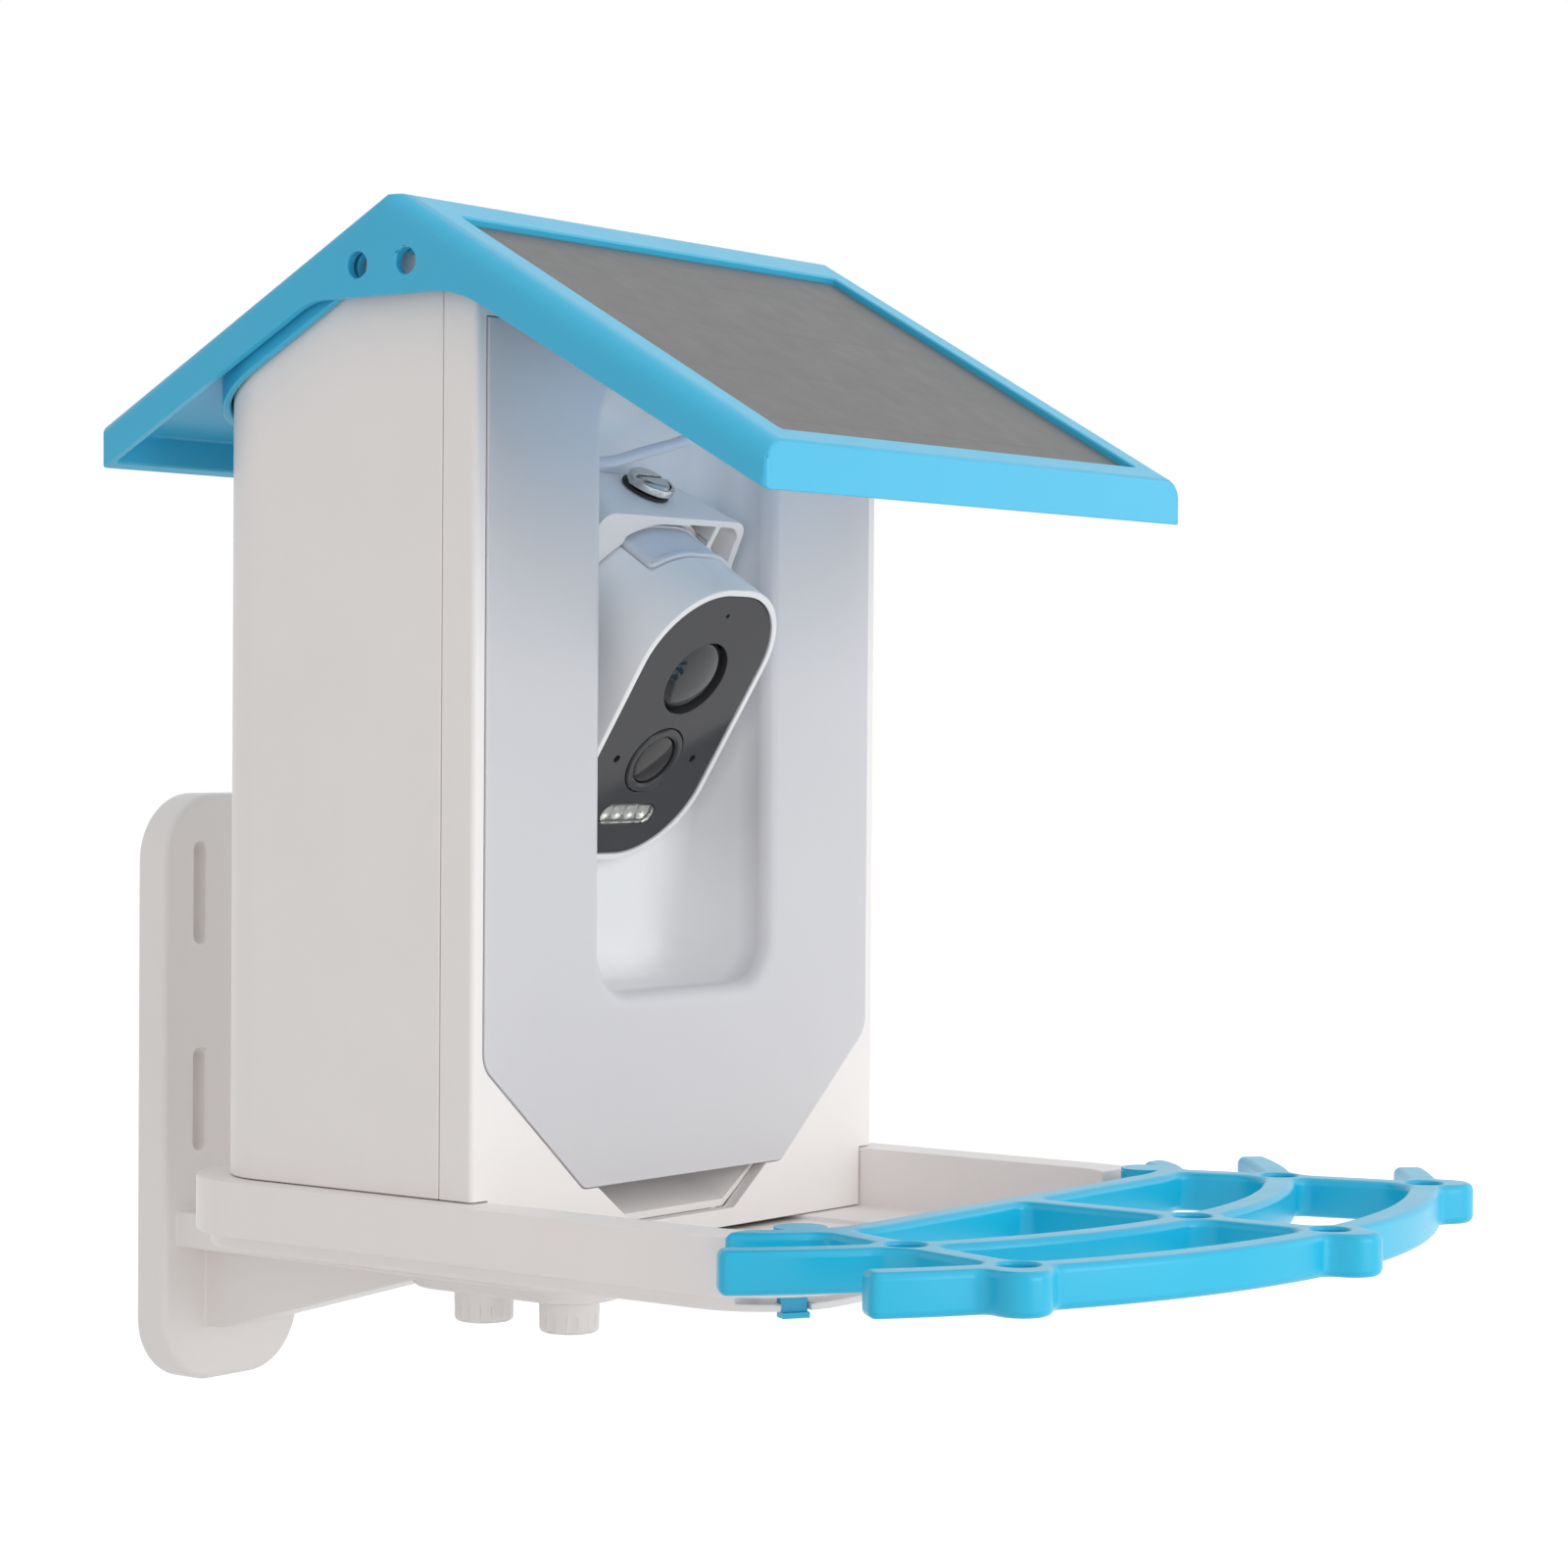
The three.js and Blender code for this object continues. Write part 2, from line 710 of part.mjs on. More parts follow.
// The window panel's outline, grown by an offset
function windowOutline(offset, radius = windowCornerRadius) {
  const half = windowHalfWidth + offset;
  const knee = windowKneeZ - offset / 2;
  const foot = windowFootHalfWidth + offset / 2;
  const low = windowFootZ - offset;
  const top = windowTopZ + offset;
  return roundedOutline([
    [-half, top, 0], [-half, knee, radius], [-foot, low, radius / 2],
    [foot, low, radius / 2], [half, knee, radius], [half, top, 0],
  ], bendSteps);
}

function outletOutline() {
  const top = windowFootZ + windowLip + overrun;
  const lean = (outletHalfTop - outletHalfFoot) / (windowFootZ - outletFootZ);
  const wide = outletHalfTop + lean * (top - windowFootZ) / 2;
  return roundedOutline([
    [-wide, top, 0], [-outletHalfTop, windowFootZ, 0], [-outletHalfFoot, outletFootZ, windowLip / 2],
    [outletHalfFoot, outletFootZ, windowLip / 2], [outletHalfTop, windowFootZ, 0], [wide, top, 0],
  ], bendSteps);
}

// Hooks behind both long edges of the window panel, or with slack the slots in the frame that take them
function hookBlocks(slack, y0, y1) {
  const half = hookHeight / 2 + slack;
  const inner = windowHalfWidth - hookWidth - slack;
  const outer = windowHalfWidth + slack;
  return hookZs.flatMap((z) => [box(inner, outer, y0, y1, z - half, z + half),
    box(-outer, -inner, y0, y1, z - half, z + half)]);
}

function frontFrame() {
  const insideHalf = trayHalfWidth - trayRimWidth - gap;
  const footZ = trayFloorZ() + gap;
  const face = front([
    [-houseHalfWidth, gap], [-insideHalf, gap], [-insideHalf, footZ], [insideHalf, footZ], [insideHalf,
      gap],
    [houseHalfWidth, gap], [houseHalfWidth, frameTopZ], [-houseHalfWidth, frameTopZ],
  ].map(([x, z]) => new THREE.Vector2(x, z)), 0, frameThickness);
  const flange = box(-houseHalfWidth, -houseHalfWidth + houseWall, 0, flangeDepth, gap, frameTopZ);
  const rounding = plan(roundedOutline([
    [-houseHalfWidth, 0, frameEdgeRadius], [houseHalfWidth, 0, frameEdgeRadius],
    [houseHalfWidth, flangeDepth, 0], [-houseHalfWidth, flangeDepth, 0],
  ], bendSteps), footZ, frameTopZ);
  const rebate = front(windowOutline(gap), -overrun, windowThickness - windowProud + gap);
  const through = front(windowOutline(-windowLip), -overrun, frameThickness + overrun);
  const outlet = front(outletOutline(), -overrun, frameThickness + overrun);
  const slots = hookBlocks(gap, 0, frameThickness + overrun);
  const body = common(join(face, flange, mirroredX(flange)), rounding);
  return cut(body, rebate, through, outlet, ...slots);
}

// Depth of the pocket's back wall at a height
function pocketBack(z) {
  return pocketBackY + (pocketBackZ - z) * pocketBackLean;
}

// The pocket as a lofted void or shell, grown by an offset
function pocketForm(offset, mouthY) {
  const midZ = (pocketTopZ + pocketFootZ) / 2;
  const halfHeight = (pocketTopZ - pocketFootZ) / 2 + offset;
  const ring = (shrink, corner, depth) => roundedRect(pocketHalfWidth + offset - shrink,
    halfHeight - shrink, corner,
    0, midZ, arcSteps).map((p) => new THREE.Vector3(p.x, depth(p.y), p.y));
  const rings = [];
  if (mouthY !== null) rings.push(ring(-pocketFlare, pocketCorner + pocketFlare, () => mouthY));
  for (let i = 0; i <= bendSteps; i += 1) {
    const angle = (Math.PI / 2) * (i / bendSteps);
    const grow = pocketFlare * (1 - Math.sin(angle));
    rings.push(ring(-grow, pocketCorner + grow, () => -windowProud + pocketFlare * (1 - Math.cos(angle))));
  }
  for (let i = 0; i <= pocketSteps; i += 1) {
    const angle = (Math.PI / 2) * (i / pocketSteps);
    const shrink = pocketBackFillet * (1 - Math.cos(angle));
    const rise = pocketBackFillet * (1 - Math.sin(angle));
    rings.push(ring(shrink, pocketCorner - shrink / 2, (z) => pocketBack(z) - rise + offset));
  }
  return loft(rings);
}

// The camera's outline grown by an offset, in the camera's frame
function bodyOutline(offset, steps = fineSteps) {
  return roundedRect(bodyHalfWidth + offset, bodyHalfHeight + offset, bodyCorner + offset, 0, 0, steps);
}

const cameraMatrix = new THREE.Matrix4().makeTranslation(0, cameraY, cameraZ)
  .multiply(new THREE.Matrix4().makeRotationX(cameraPitch));

function windowPanel() {
  const backY = windowThickness - windowProud;
  const plate = front(windowOutline(0), -windowProud, backY);
  const pocket = pocketForm(pocketWall, null);
  const behind = box(-roofHalf, roofHalf, 0, houseRearY, 0, ridgeZ);
  const hollow = pocketForm(0, -windowProud - overrun);
  const clear = cradleWall + cradleGap + 2 * gap;
  const cameraHole = placed(front(bodyOutline(clear), -bodyDepth / 2, cradleRearY + bodyDepth),
    cameraMatrix);
  const holeBand = box(-roofHalf, roofHalf, pocketFlare + pocketWall, houseRearY,
    pocketFootZ + pocketWall, pocketTopZ);
  const hooks = hookBlocks(0, backY - windowThickness / 2, frameThickness);
  const bossY = pocketBack(cradleBossZ) + pocketWall;
  const bosses = [-1, 1].map((s) => front(circle(cradleBossRadius, s * cradleBossX, cradleBossZ,
    smallSides),
    bossY - pocketWall / 2, bossY + cradleBossLength));
  const pilots = [-1, 1].map((s) => front(circle(screwRadius + gap, s * cradleBossX, cradleBossZ,
    smallSides),
    bossY, bossY + cradleBossLength + overrun));
  const body = join(plate, common(pocket, behind), ...bosses, ...hooks);
  const hoodHole = placed(hoodForm(2 * gap, cradleFrontY, hoodRearY + 2 * gap), cameraMatrix);
  return cut(body, hollow, common(join(cameraHole, hoodHole), holeBand), ...pilots,
    ...grommetHoles());
}

// The two places where the cable goes through the pocket's skin
function grommetHoles() {
  const hole = grommetRadius + gap;
  const backY = pocketBack(backHoleZ);
  return [
    front(circle(hole, backHoleX, backHoleZ, smallSides), backY - pocketWall, backY + pocketWall * 2),
    plan(circle(hole, ceilingHoleX, ceilingHoleY, smallSides), pocketTopZ - pocketWall,
      pocketTopZ + pocketWall * 2),
  ];
}

function grommet() {
  const bore = cableRadius + 2 * gap;
  return turned([
    [bore, -grommetWall], [grommetRadius, -grommetWall], [grommetRadius, grommetWall], [bore, grommetWall],
    [bore, -grommetWall],
  ], smallSides);
}

// Half-widths of the hood at its foot, its flare and its top, from the front edge to the rear end
const hoodFrontHalves = [30, 33.8, 30.8];
const hoodRearHalves = [30, 28.5, 17];

function hoodRing(offset, y) {
  const share = (y - cradleFrontY) / (hoodRearY - cradleFrontY);
  const [foot, flare, top] = hoodFrontHalves.map((h, i) => THREE.MathUtils.lerp(h, hoodRearHalves[i],
    share) + offset);
  const outline = roundedOutline([
    [foot, hoodFootZ - offset, 0], [flare, hoodFlareZ, hoodCorner], [top, hoodTopZ + offset, hoodCorner],
    [-top, hoodTopZ + offset, hoodCorner], [-flare, hoodFlareZ, hoodCorner], [-foot, hoodFootZ - offset, 0],
  ], arcSteps / 2);
  return outline.map((p) => new THREE.Vector3(p.x, y, p.y));
}

function hoodForm(offset, y0, y1) {
  return loft([hoodRing(offset, y0), hoodRing(offset, y1)]);
}

// Sleeve and hood round the camera, in the camera's frame, then set in place with its screw tab
function cameraCradle() {
  const sleeve = front(bodyOutline(cradleGap + cradleWall), cradleFrontY, cradleRearY);
  const bore = front(bodyOutline(cradleGap), cradleFrontY - overrun, cradleRearY - cradleWall);
  const room = cut(hoodForm(-cradleWall, cradleFrontY - overrun, hoodRearY - hoodCorner * 2),
    front(bodyOutline(cradleGap + cradleWall), cradleFrontY - 2 * overrun, hoodRearY),
    box(-roofHalf, hoodRoomX, 0, bodyDepth, 0, roofHalf),
    box(hoodRibX, hoodRibX + cradleWall, 0, bodyDepth, 0, roofHalf));
  const lift = common(front(bodyOutline(coverThickness * 2), cradleFrontY - overrun,
    coverRearY + coverThickness),
    box(-coverHalfWidth - gap, coverHalfWidth + gap, 0, bodyDepth, hoodFootZ, roofHalf));
  const shankHole = plan(circle(shankRadius + gap, 0, ringScrewY), 0, roofHalf);
  const plugHole = front(circle(plugRadius + gap), bodyDepth, cradleRearY + overrun);
  const local = cut(join(sleeve, cut(hoodForm(0, cradleFrontY, hoodRearY), room)), bore, lift, shankHole,
    plugHole);
  const set = placed(local, cameraMatrix);
  const y0 = tabFrontY();
  const tab = cut(side([
    [y0, cradleTabFootZ], [y0 + cradleWall, cradleTabFootZ], [y0 + cradleWall * 2,
      cradleBossZ + cradleTabHalfWidth],
    [cradleTabRearY, cradleTabHeadZ - cradleBossLength], [cradleTabRearY, cradleTabHeadZ],
    [y0 + cradleBossLength, cradleTabHeadZ], [y0, cradleBossZ + cradleTabHalfWidth],
  ].map(([y, z]) => new THREE.Vector2(y, z)), -cradleTabHalfWidth, cradleTabHalfWidth),
  placed(front(bodyOutline(cradleGap), -bodyDepth, cradleRearY - cradleWall), cameraMatrix));
  const holes = [-1, 1].map((s) => front(circle(screwRadius + gap, s * cradleBossX, cradleBossZ,
    smallSides),
    y0 - overrun, y0 + cradleTabHalfWidth));
  return cut(join(set, tab), ...holes);
}

function tabFrontY() {
  return pocketBack(cradleTabFootZ) + pocketWall + cradleBossLength + gap;
}

function screw(length) {
  return turned([
    [0, -screwHeadHeight], [screwHeadRadius, -screwHeadHeight], [screwHeadRadius, 0], [screwRadius, 0],
    [screwRadius, length], [0, length],
  ], smallSides);
}

// Camera pieces, all in the camera's frame
function cameraHousing() {
  const rings = [0, bodyDepth - bodyRearEdge].map((y) => ({ y, shrink: 0 }));
  for (let i = 1; i <= bendSteps; i += 1) {
    const angle = (Math.PI / 2) * (i / bendSteps);
    rings.push({ y: bodyDepth - bodyRearEdge * (1 - Math.sin(angle)),
      shrink: bodyRearEdge * (1 - Math.cos(angle)) });
  }
  const outer = loft(rings.map(({ y, shrink }) => bodyOutline(-shrink).map((p) => new THREE.Vector3(p.x,
    y, p.y))));
  const mouth = front(bodyOutline(-bodyWall), -overrun, faceDepth);
  const hollow = front(bodyOutline(-bodyWall * 2), faceDepth - overrun, bodyDepth - bodyWall * 2);
  const insertBoss = plan(circle(tripodRadius + bodyWall, 0, ringScrewY), tripodFootZ - bodyWall,
    bodyHalfHeight - bodyWall);
  const insertHole = plan(circle(tripodRadius + gap, 0, ringScrewY), tripodFootZ, bodyHalfHeight + overrun);
  const coverBox = box(-coverHalfWidth - gap, coverHalfWidth + gap, coverFrontY - gap, coverRearY + gap,
    0, roofHalf);
  const coverBed = cut(coverBox, front(bodyOutline(-coverSeat - gap), 0, bodyDepth));
  const portHole = common(front(bodyOutline(0), portFrontY, portRearY),
    box(-portHalfWidth, portHalfWidth, portFrontY, portRearY, 0, roofHalf));
  const port = cut(portHole, front(bodyOutline(-bodyWall), 0, bodyDepth));
  const buttonHole = plan(circle(buttonRadius + gap, buttonX, portMiddleY(), smallSides), hoodFootZ,
    roofHalf);
  const socketHole = box(socketX - socketHalfWidth - gap, socketX + socketHalfWidth + gap,
    portMiddleY() - socketHalfDepth - gap, portMiddleY() + socketHalfDepth + gap, hoodFootZ, roofHalf);
  const ledgeX = bodyHalfWidth - bodyWall * 2 - boardLedge;
  const ledgeY = boardY + boardThickness + gap;
  const ledge = box(ledgeX, ledgeX + boardLedge + bodyWall, ledgeY, ledgeY + boardLedge,
    -boardCorner, boardCorner);
  const plugHole = front(circle(plugRadius + gap), bodyDepth - bodyWall * 3, bodyDepth + overrun);
  const body = join(cut(outer, mouth, hollow), insertBoss, ledge, mirroredX(ledge));
  return cut(body, insertHole, coverBed, port, buttonHole, socketHole, plugHole);
}

function portMiddleY() {
  return (portFrontY + portRearY) / 2;
}

function cameraFaceplate() {
  const plate = front(bodyOutline(-bodyWall - gap), faceSink, faceSink + faceThickness);
  const cup = front(circle(pirHole + faceWall, 0, pirZ, faceSides), faceSink, pirCupDepth);
  const cupHole = front(circle(pirHole, 0, pirZ, faceSides), -overrun, pirCupDepth - faceWall);
  const cupFloor = front(circle(pirRadius - faceWall, 0, pirZ, faceSides), -overrun, pirCupDepth + overrun);
  const lensHoleCut = front(circle(lensHole, 0, lensZ, faceSides), -overrun,
    faceSink + faceThickness + overrun);
  const led = front(roundedRect(ledHalfLength + gap, ledRadius + gap, ledRadius + gap, 0, ledZ), -overrun,
    faceSink + faceThickness + overrun);
  const mic = front(circle(micRadius, 0, micZ, smallSides / 2), -overrun,
    faceSink + faceThickness + overrun);
  const sensors = [-1, 1].map((s) => front(circle(sensorRadius, s * sensorX, sensorZ, smallSides), -overrun,
    faceSink + faceThickness + overrun));
  return cut(join(plate, cup), cupHole, cupFloor, lensHoleCut, led, mic, ...sensors);
}

function faceGasket() {
  const y0 = faceSink + faceThickness + gap;
  const ring = front(bodyOutline(-bodyWall - gap), y0, faceDepth - gap);
  const inner = front(bodyOutline(-bodyWall * 2 - gap), y0 - overrun, faceDepth);
  return cut(ring, inner);
}

function pirLens() {
  const profile = [[0, pirCupDepth - faceWall - gap], [pirHole - gap, pirCupDepth - faceWall - gap],
    [pirHole - gap, pirCupDepth - faceWall * 2], [pirRadius, pirCupDepth - faceWall * 2]];
  const skin = faceWall;
  const rise = pirCupDepth - faceWall * 2 - faceSink;
  for (let i = 1; i <= fineSteps; i += 1) {
    const angle = (Math.PI / 2) * (i / fineSteps);
    profile.push([Math.max(0, pirRadius * Math.cos(angle)),
      pirCupDepth - faceWall * 2 - rise * Math.sin(angle)]);
  }
  const solid = turned(profile);
  const hollow = turned([[0, pirCupDepth], [pirRadius - 2 * skin, pirCupDepth], [pirRadius - 2 * skin,
    pirCupDepth / 2],
    [0, pirCupDepth / 2 - skin]]);
  return cut(solid, hollow);
}

function lensRing() {
  return turned([
    [lensRadius, faceSink], [lensRadius + gap * 2, 0], [lensHole - gap * 2, 0], [lensHole - gap, faceSink],
    [lensHole - gap, lensBarrelDepth], [lensRadius - faceWall, lensBarrelDepth],
    [lensRadius - faceWall, faceSink + faceThickness], [lensRadius, faceSink + faceThickness],
      [lensRadius, faceSink],
  ], faceSides);
}

function lensGlass() {
  const radius = lensRadius - gap;
  const back = faceSink + faceThickness - gap;
  return turned([[0, back], [radius, back], [radius, faceSink * 2], [radius * crownShare,
    faceSink + gap / 2],
    [0, faceSink]], faceSides);
}

function ledWindow() {
  return front(roundedRect(ledHalfLength, ledRadius, ledRadius, 0, ledZ), faceSink,
    faceSink + faceThickness);
}

function ledBoard() {
  const y0 = faceSink + faceThickness + faceWall;
  const board = box(-ledHalfLength, ledHalfLength, y0, y0 + boardThickness, ledZ - ledRadius,
    ledZ + ledRadius);
  const lamps = ledShares.map((share) => box(share * ledHalfLength - ledSize,
    share * ledHalfLength + ledSize,
    y0 - ledSize / 2, y0 + boardThickness / 2, ledZ - ledSize, ledZ + ledSize));
  return join(board, ...lamps);
}

function usbCover() {
  const sheet = cut(front(bodyOutline(coverThickness - coverSeat), coverFrontY, coverRearY),
    front(bodyOutline(-coverSeat), coverFrontY - overrun, coverRearY + overrun));
  return common(sheet, box(-coverHalfWidth, coverHalfWidth, coverFrontY - overrun, coverRearY + overrun,
    0, roofHalf));
}

function usbSocket() {
  const y = portMiddleY();
  const top = portFloorZ(socketX + socketHalfWidth) - gap;
  const shell = box(socketX - socketHalfWidth, socketX + socketHalfWidth, y - socketHalfDepth,
    y + socketHalfDepth,
    top - socketHeight, top);
  const mouth = box(socketX - socketHalfWidth + socketSkin, socketX + socketHalfWidth - socketSkin,
    y - socketHalfDepth + socketSkin, y + socketHalfDepth - socketSkin, top - socketHeight + socketSkin,
      top + overrun);
  const tongue = box(socketX - socketHalfWidth / 2, socketX + socketHalfWidth / 2, y - socketSkin,
    y + socketSkin,
    top - socketHeight, top - socketSkin);
  return join(cut(shell, mouth), tongue);
}

function portFloorZ(x) {
  const radius = bodyCorner - bodyWall;
  const reach = x - (bodyHalfWidth - bodyCorner);
  return bodyHalfHeight - bodyCorner + Math.sqrt(radius * radius - reach * reach);
}

function resetButton() {
  const top = portFloorZ(buttonX) - gap;
  return turned([
    [0, top - buttonHeight], [buttonRadius + faceWall, top - buttonHeight],
    [buttonRadius + faceWall, top - buttonHeight + faceWall], [buttonRadius, top - buttonHeight + faceWall],
    [buttonRadius, top - gap], [buttonRadius - gap, top], [0, top],
  ], smallSides);
}

function cameraBoard() {
  const halfWidth = bodyHalfWidth - bodyWall * 2 - gap;
  return front(roundedRect(halfWidth, boardHalfHeight, boardCorner), boardY, boardY + boardThickness);
}

function battery() {
  return turned([
    [0, -batteryHalf], [batteryRadius, -batteryHalf], [batteryRadius, batteryHalf - overrun],
    [batteryRadius / 2, batteryHalf - overrun], [batteryRadius / 2, batteryHalf], [0, batteryHalf],
  ], smallSides);
}

function tripodInsert() {
  const bore = shankRadius + gap;
  const top = bodyHalfHeight - gap;
  return turned([[bore, tripodFootZ + gap], [tripodRadius, tripodFootZ + gap], [tripodRadius, top],
    [bore, top],
    [bore, tripodFootZ + gap]]);
}

function cablePlug() {
  const bore = cableRadius + gap;
  const start = bodyDepth - bodyWall;
  const end = start + plugLength;
  return turned([
    [0, start], [plugRadius, start], [plugRadius, end], [plugRadius - faceWall, end + plugRadius],
    [bore, end + plugRadius], [bore, end], [0, end],
  ], smallSides);
}

// Screw on top of the hood, turned about its own axis with Z up
function ringScrew() {
  const head = turned([
    [0, -shankLength], [shankRadius, -shankLength], [shankRadius, 0], [headRadius, 0],
    [headRadius, headHeight * headSideShare], [headRadius - faceWall, headHeight], [0, headHeight],
  ], faceSides);
  const slot = box(-headRadius, headRadius, -slotHalf, slotHalf, headHeight - slotDepth,
    headHeight + overrun);
  const pivots = side(circle(bailPinRadius + pinClearance, 0, bailZ, smallSides), -headRadius - overrun,
    headRadius + overrun);
  const core = box(-headRadius + bailPinReach + gap, headRadius - bailPinReach - gap, -headRadius,
    headRadius, 0,
    headHeight);
  return cut(head, slot, cut(pivots, core));
}

function ringBail() {
  const outer = plan(circle(bailRadius, 0, 0, faceSides), bailZ - bailWall / 2, bailZ + bailWall / 2);
  const inner = plan(circle(bailRadius - bailWall, 0, 0, faceSides), bailZ - bailWall, bailZ + bailWall);
  const half = box(-bailRadius, bailRadius, -bailRadius, bailPinRadius, 0, headHeight + bailWall);
  const pins = [-1, 1].map((s) => side(circle(bailPinRadius, 0, bailZ, smallSides),
    Math.min(s * (headRadius - bailPinReach), s * (bailRadius - bailWall / 2)),
    Math.max(s * (headRadius - bailPinReach), s * (bailRadius - bailWall / 2))));
  return join(common(cut(outer, inner), half), ...pins);
}

function washer() {
  const bore = shankRadius + gap;
  return turned([[bore, 0], [washerRadius, 0], [washerRadius, washerHeight], [bore, washerHeight], [bore,
    0]],
    faceSides);
}

// Sloped floor behind the window that brings the seed to the outlet
function seedFunnel() {
  const top = [
    [-funnelHalf, funnelWingZ], [-funnelKneeX, funnelKneeZ], [-outletHalfFoot, outletFootZ],
    [outletHalfFoot, outletFootZ], [funnelKneeX, funnelKneeZ], [funnelHalf, funnelWingZ],
  ];
  const under = top.map(([x, z]) => [x, z - funnelWall]).reverse();
  const y0 = frameThickness + gap;
  const y1 = houseRearY - houseWall - funnelRearGap;
  const shear = new THREE.Matrix4().set(1, 0, 0, 0, 0, 1, 0, 0, 0, funnelSlope, 1, 0, 0, 0, 0, 1);
  const outline = [...top, ...under].map(([x, z]) => new THREE.Vector2(x, z));
  const trough = placed(front(outline, y0, y1), shear);
  const legs = [-1, 1].map((s) => side([
    [y0, trayFloorZ() + gap], [y1 - funnelWingZ, trayFloorZ() + gap],
    [y1 - funnelWingZ, outletFootZ - funnelWall / 2 + funnelSlope * (y1 - funnelWingZ)],
    [y0, outletFootZ - funnelWall / 2 + funnelSlope * y0],
  ].map(([y, z]) => new THREE.Vector2(y, z)), s * legX - funnelWall / 2, s * legX + funnelWall / 2));
  const trim = plan(housePlan(-houseWall - gap, y0), trayFloorZ(), ridgeZ);
  return common(join(trough, ...legs), trim);
}

function trayFloorZ() {
  return -trayBandHeight - trayRingHeight + trayFloor;
}

function trayOutline(inset, frontY = trayFrontY) {
  return roundedRect(trayHalfWidth - inset, (trayRearY - frontY) / 2 - inset, trayCornerRadius - inset, 0,
    (trayRearY + frontY) / 2, fineSteps);
}

function tray() {
  const footZ = trayFloorZ() - trayFloor;
  const band = plan(trayOutline(0), -trayBandHeight, 0);
  const ring = plan(trayOutline(trayRingInset), footZ, -trayBandHeight + overrun);
  const rearWell = common(plan(trayOutline(trayRimWidth), trayFloorZ(), overrun),
    box(-trayHalfWidth, trayHalfWidth, trayRimFrontY - overrun, trayRearY, footZ, overrun));
  const frontWell = common(plan(trayOutline(trayLipWidth), trayFloorZ(), overrun),
    box(-trayHalfWidth, trayHalfWidth, trayFrontY, trayRimFrontY, footZ, overrun));
  const lip = box(-trayHalfWidth, trayHalfWidth, trayFrontY - overrun, trayRimFrontY, -trayLipDrop,
    overrun);
  const trough = common(plan(trayOutline(trayRimWidth), trayFloorZ() - troughDepth, 0),
    box(-troughHalfWidth, troughHalfWidth, trayFrontY + trayLipWidth * 2, trayRearY, footZ, 0));
  const rimRoom = cut(plan(trayOutline(rimRoomInset), footZ - overrun, -rimRoof),
    plan(trayOutline(rimRoomInset + rimRoomWidth), footZ - 2 * overrun, 0),
    box(-trayHalfWidth, trayHalfWidth, trayFrontY - overrun, trayRimFrontY + trayRimWidth,
      footZ - 2 * overrun, 0));
  const bosses = traySpots.map(([sx, y]) => plan(circle(bossRadius, postX(sx), y, smallSides), footZ, 0));
  const padded = plan(roundedRect(padHalfWidth, (armPadRearY - padFrontY) / 2 - padInset, padInset, 0,
    (armPadRearY + padFrontY) / 2), armTopZ + gap, footZ + overrun);
  const insertBosses = screwYs.map((y) => plan(circle(insertRadius + bossWall, 0, y), footZ,
    insertTopZ() + bossWall));
  const insertHoles = screwYs.map((y) => plan(circle(insertRadius + gap, 0, y), armTopZ, insertTopZ()));
  const counterbores = traySpots.flatMap(([sx, y]) => [
    plan(circle(screwHeadRadius + gap, postX(sx), y, smallSides), footZ - overrun, -screwSeat),
    plan(circle(screwRadius + gap, postX(sx), y, smallSides), footZ, overrun),
  ]);
  const shell = cut(join(band, ring), rearWell, frontWell, lip, trough, rimRoom);
  const slot = fingerSlot();
  return cut(join(shell, ...bosses, padded, ...insertBosses), ...counterbores, ...insertHoles, slot,
    mirroredX(slot));
}

function postX(sx) {
  return sx * (houseHalfWidth - postInset);
}

function insertTopZ() {
  return armTopZ + gap + insertHeight + bossWall;
}

function insert() {
  const bore = studRadius + gap;
  return turned([[bore, 0], [insertRadius, 0], [insertRadius, insertHeight], [bore, insertHeight], [bore,
    0]]);
}

// Fluted hand screw, head down, its seat at Z = 0
function thumbScrew() {
  const fluteReach = knobRadius - knobFluteDepth + knobFlute;
  const knob = plan(circle(knobRadius), -knobHeight, 0, overrun);
  const flutes = Array.from({ length: knobFlutes }, (_, i) => {
    const angle = (2 * Math.PI * i) / knobFlutes;
    return plan(circle(knobFlute, fluteReach * Math.cos(angle), fluteReach * Math.sin(angle)),
      -knobHeight - overrun, -knobCollar);
  });
  const stud = plan(circle(studRadius), -overrun, studLength());
  return join(cut(knob, ...flutes), stud);
}

function studLength() {
  return armThickness + armPadHeight + insertHeight;
}

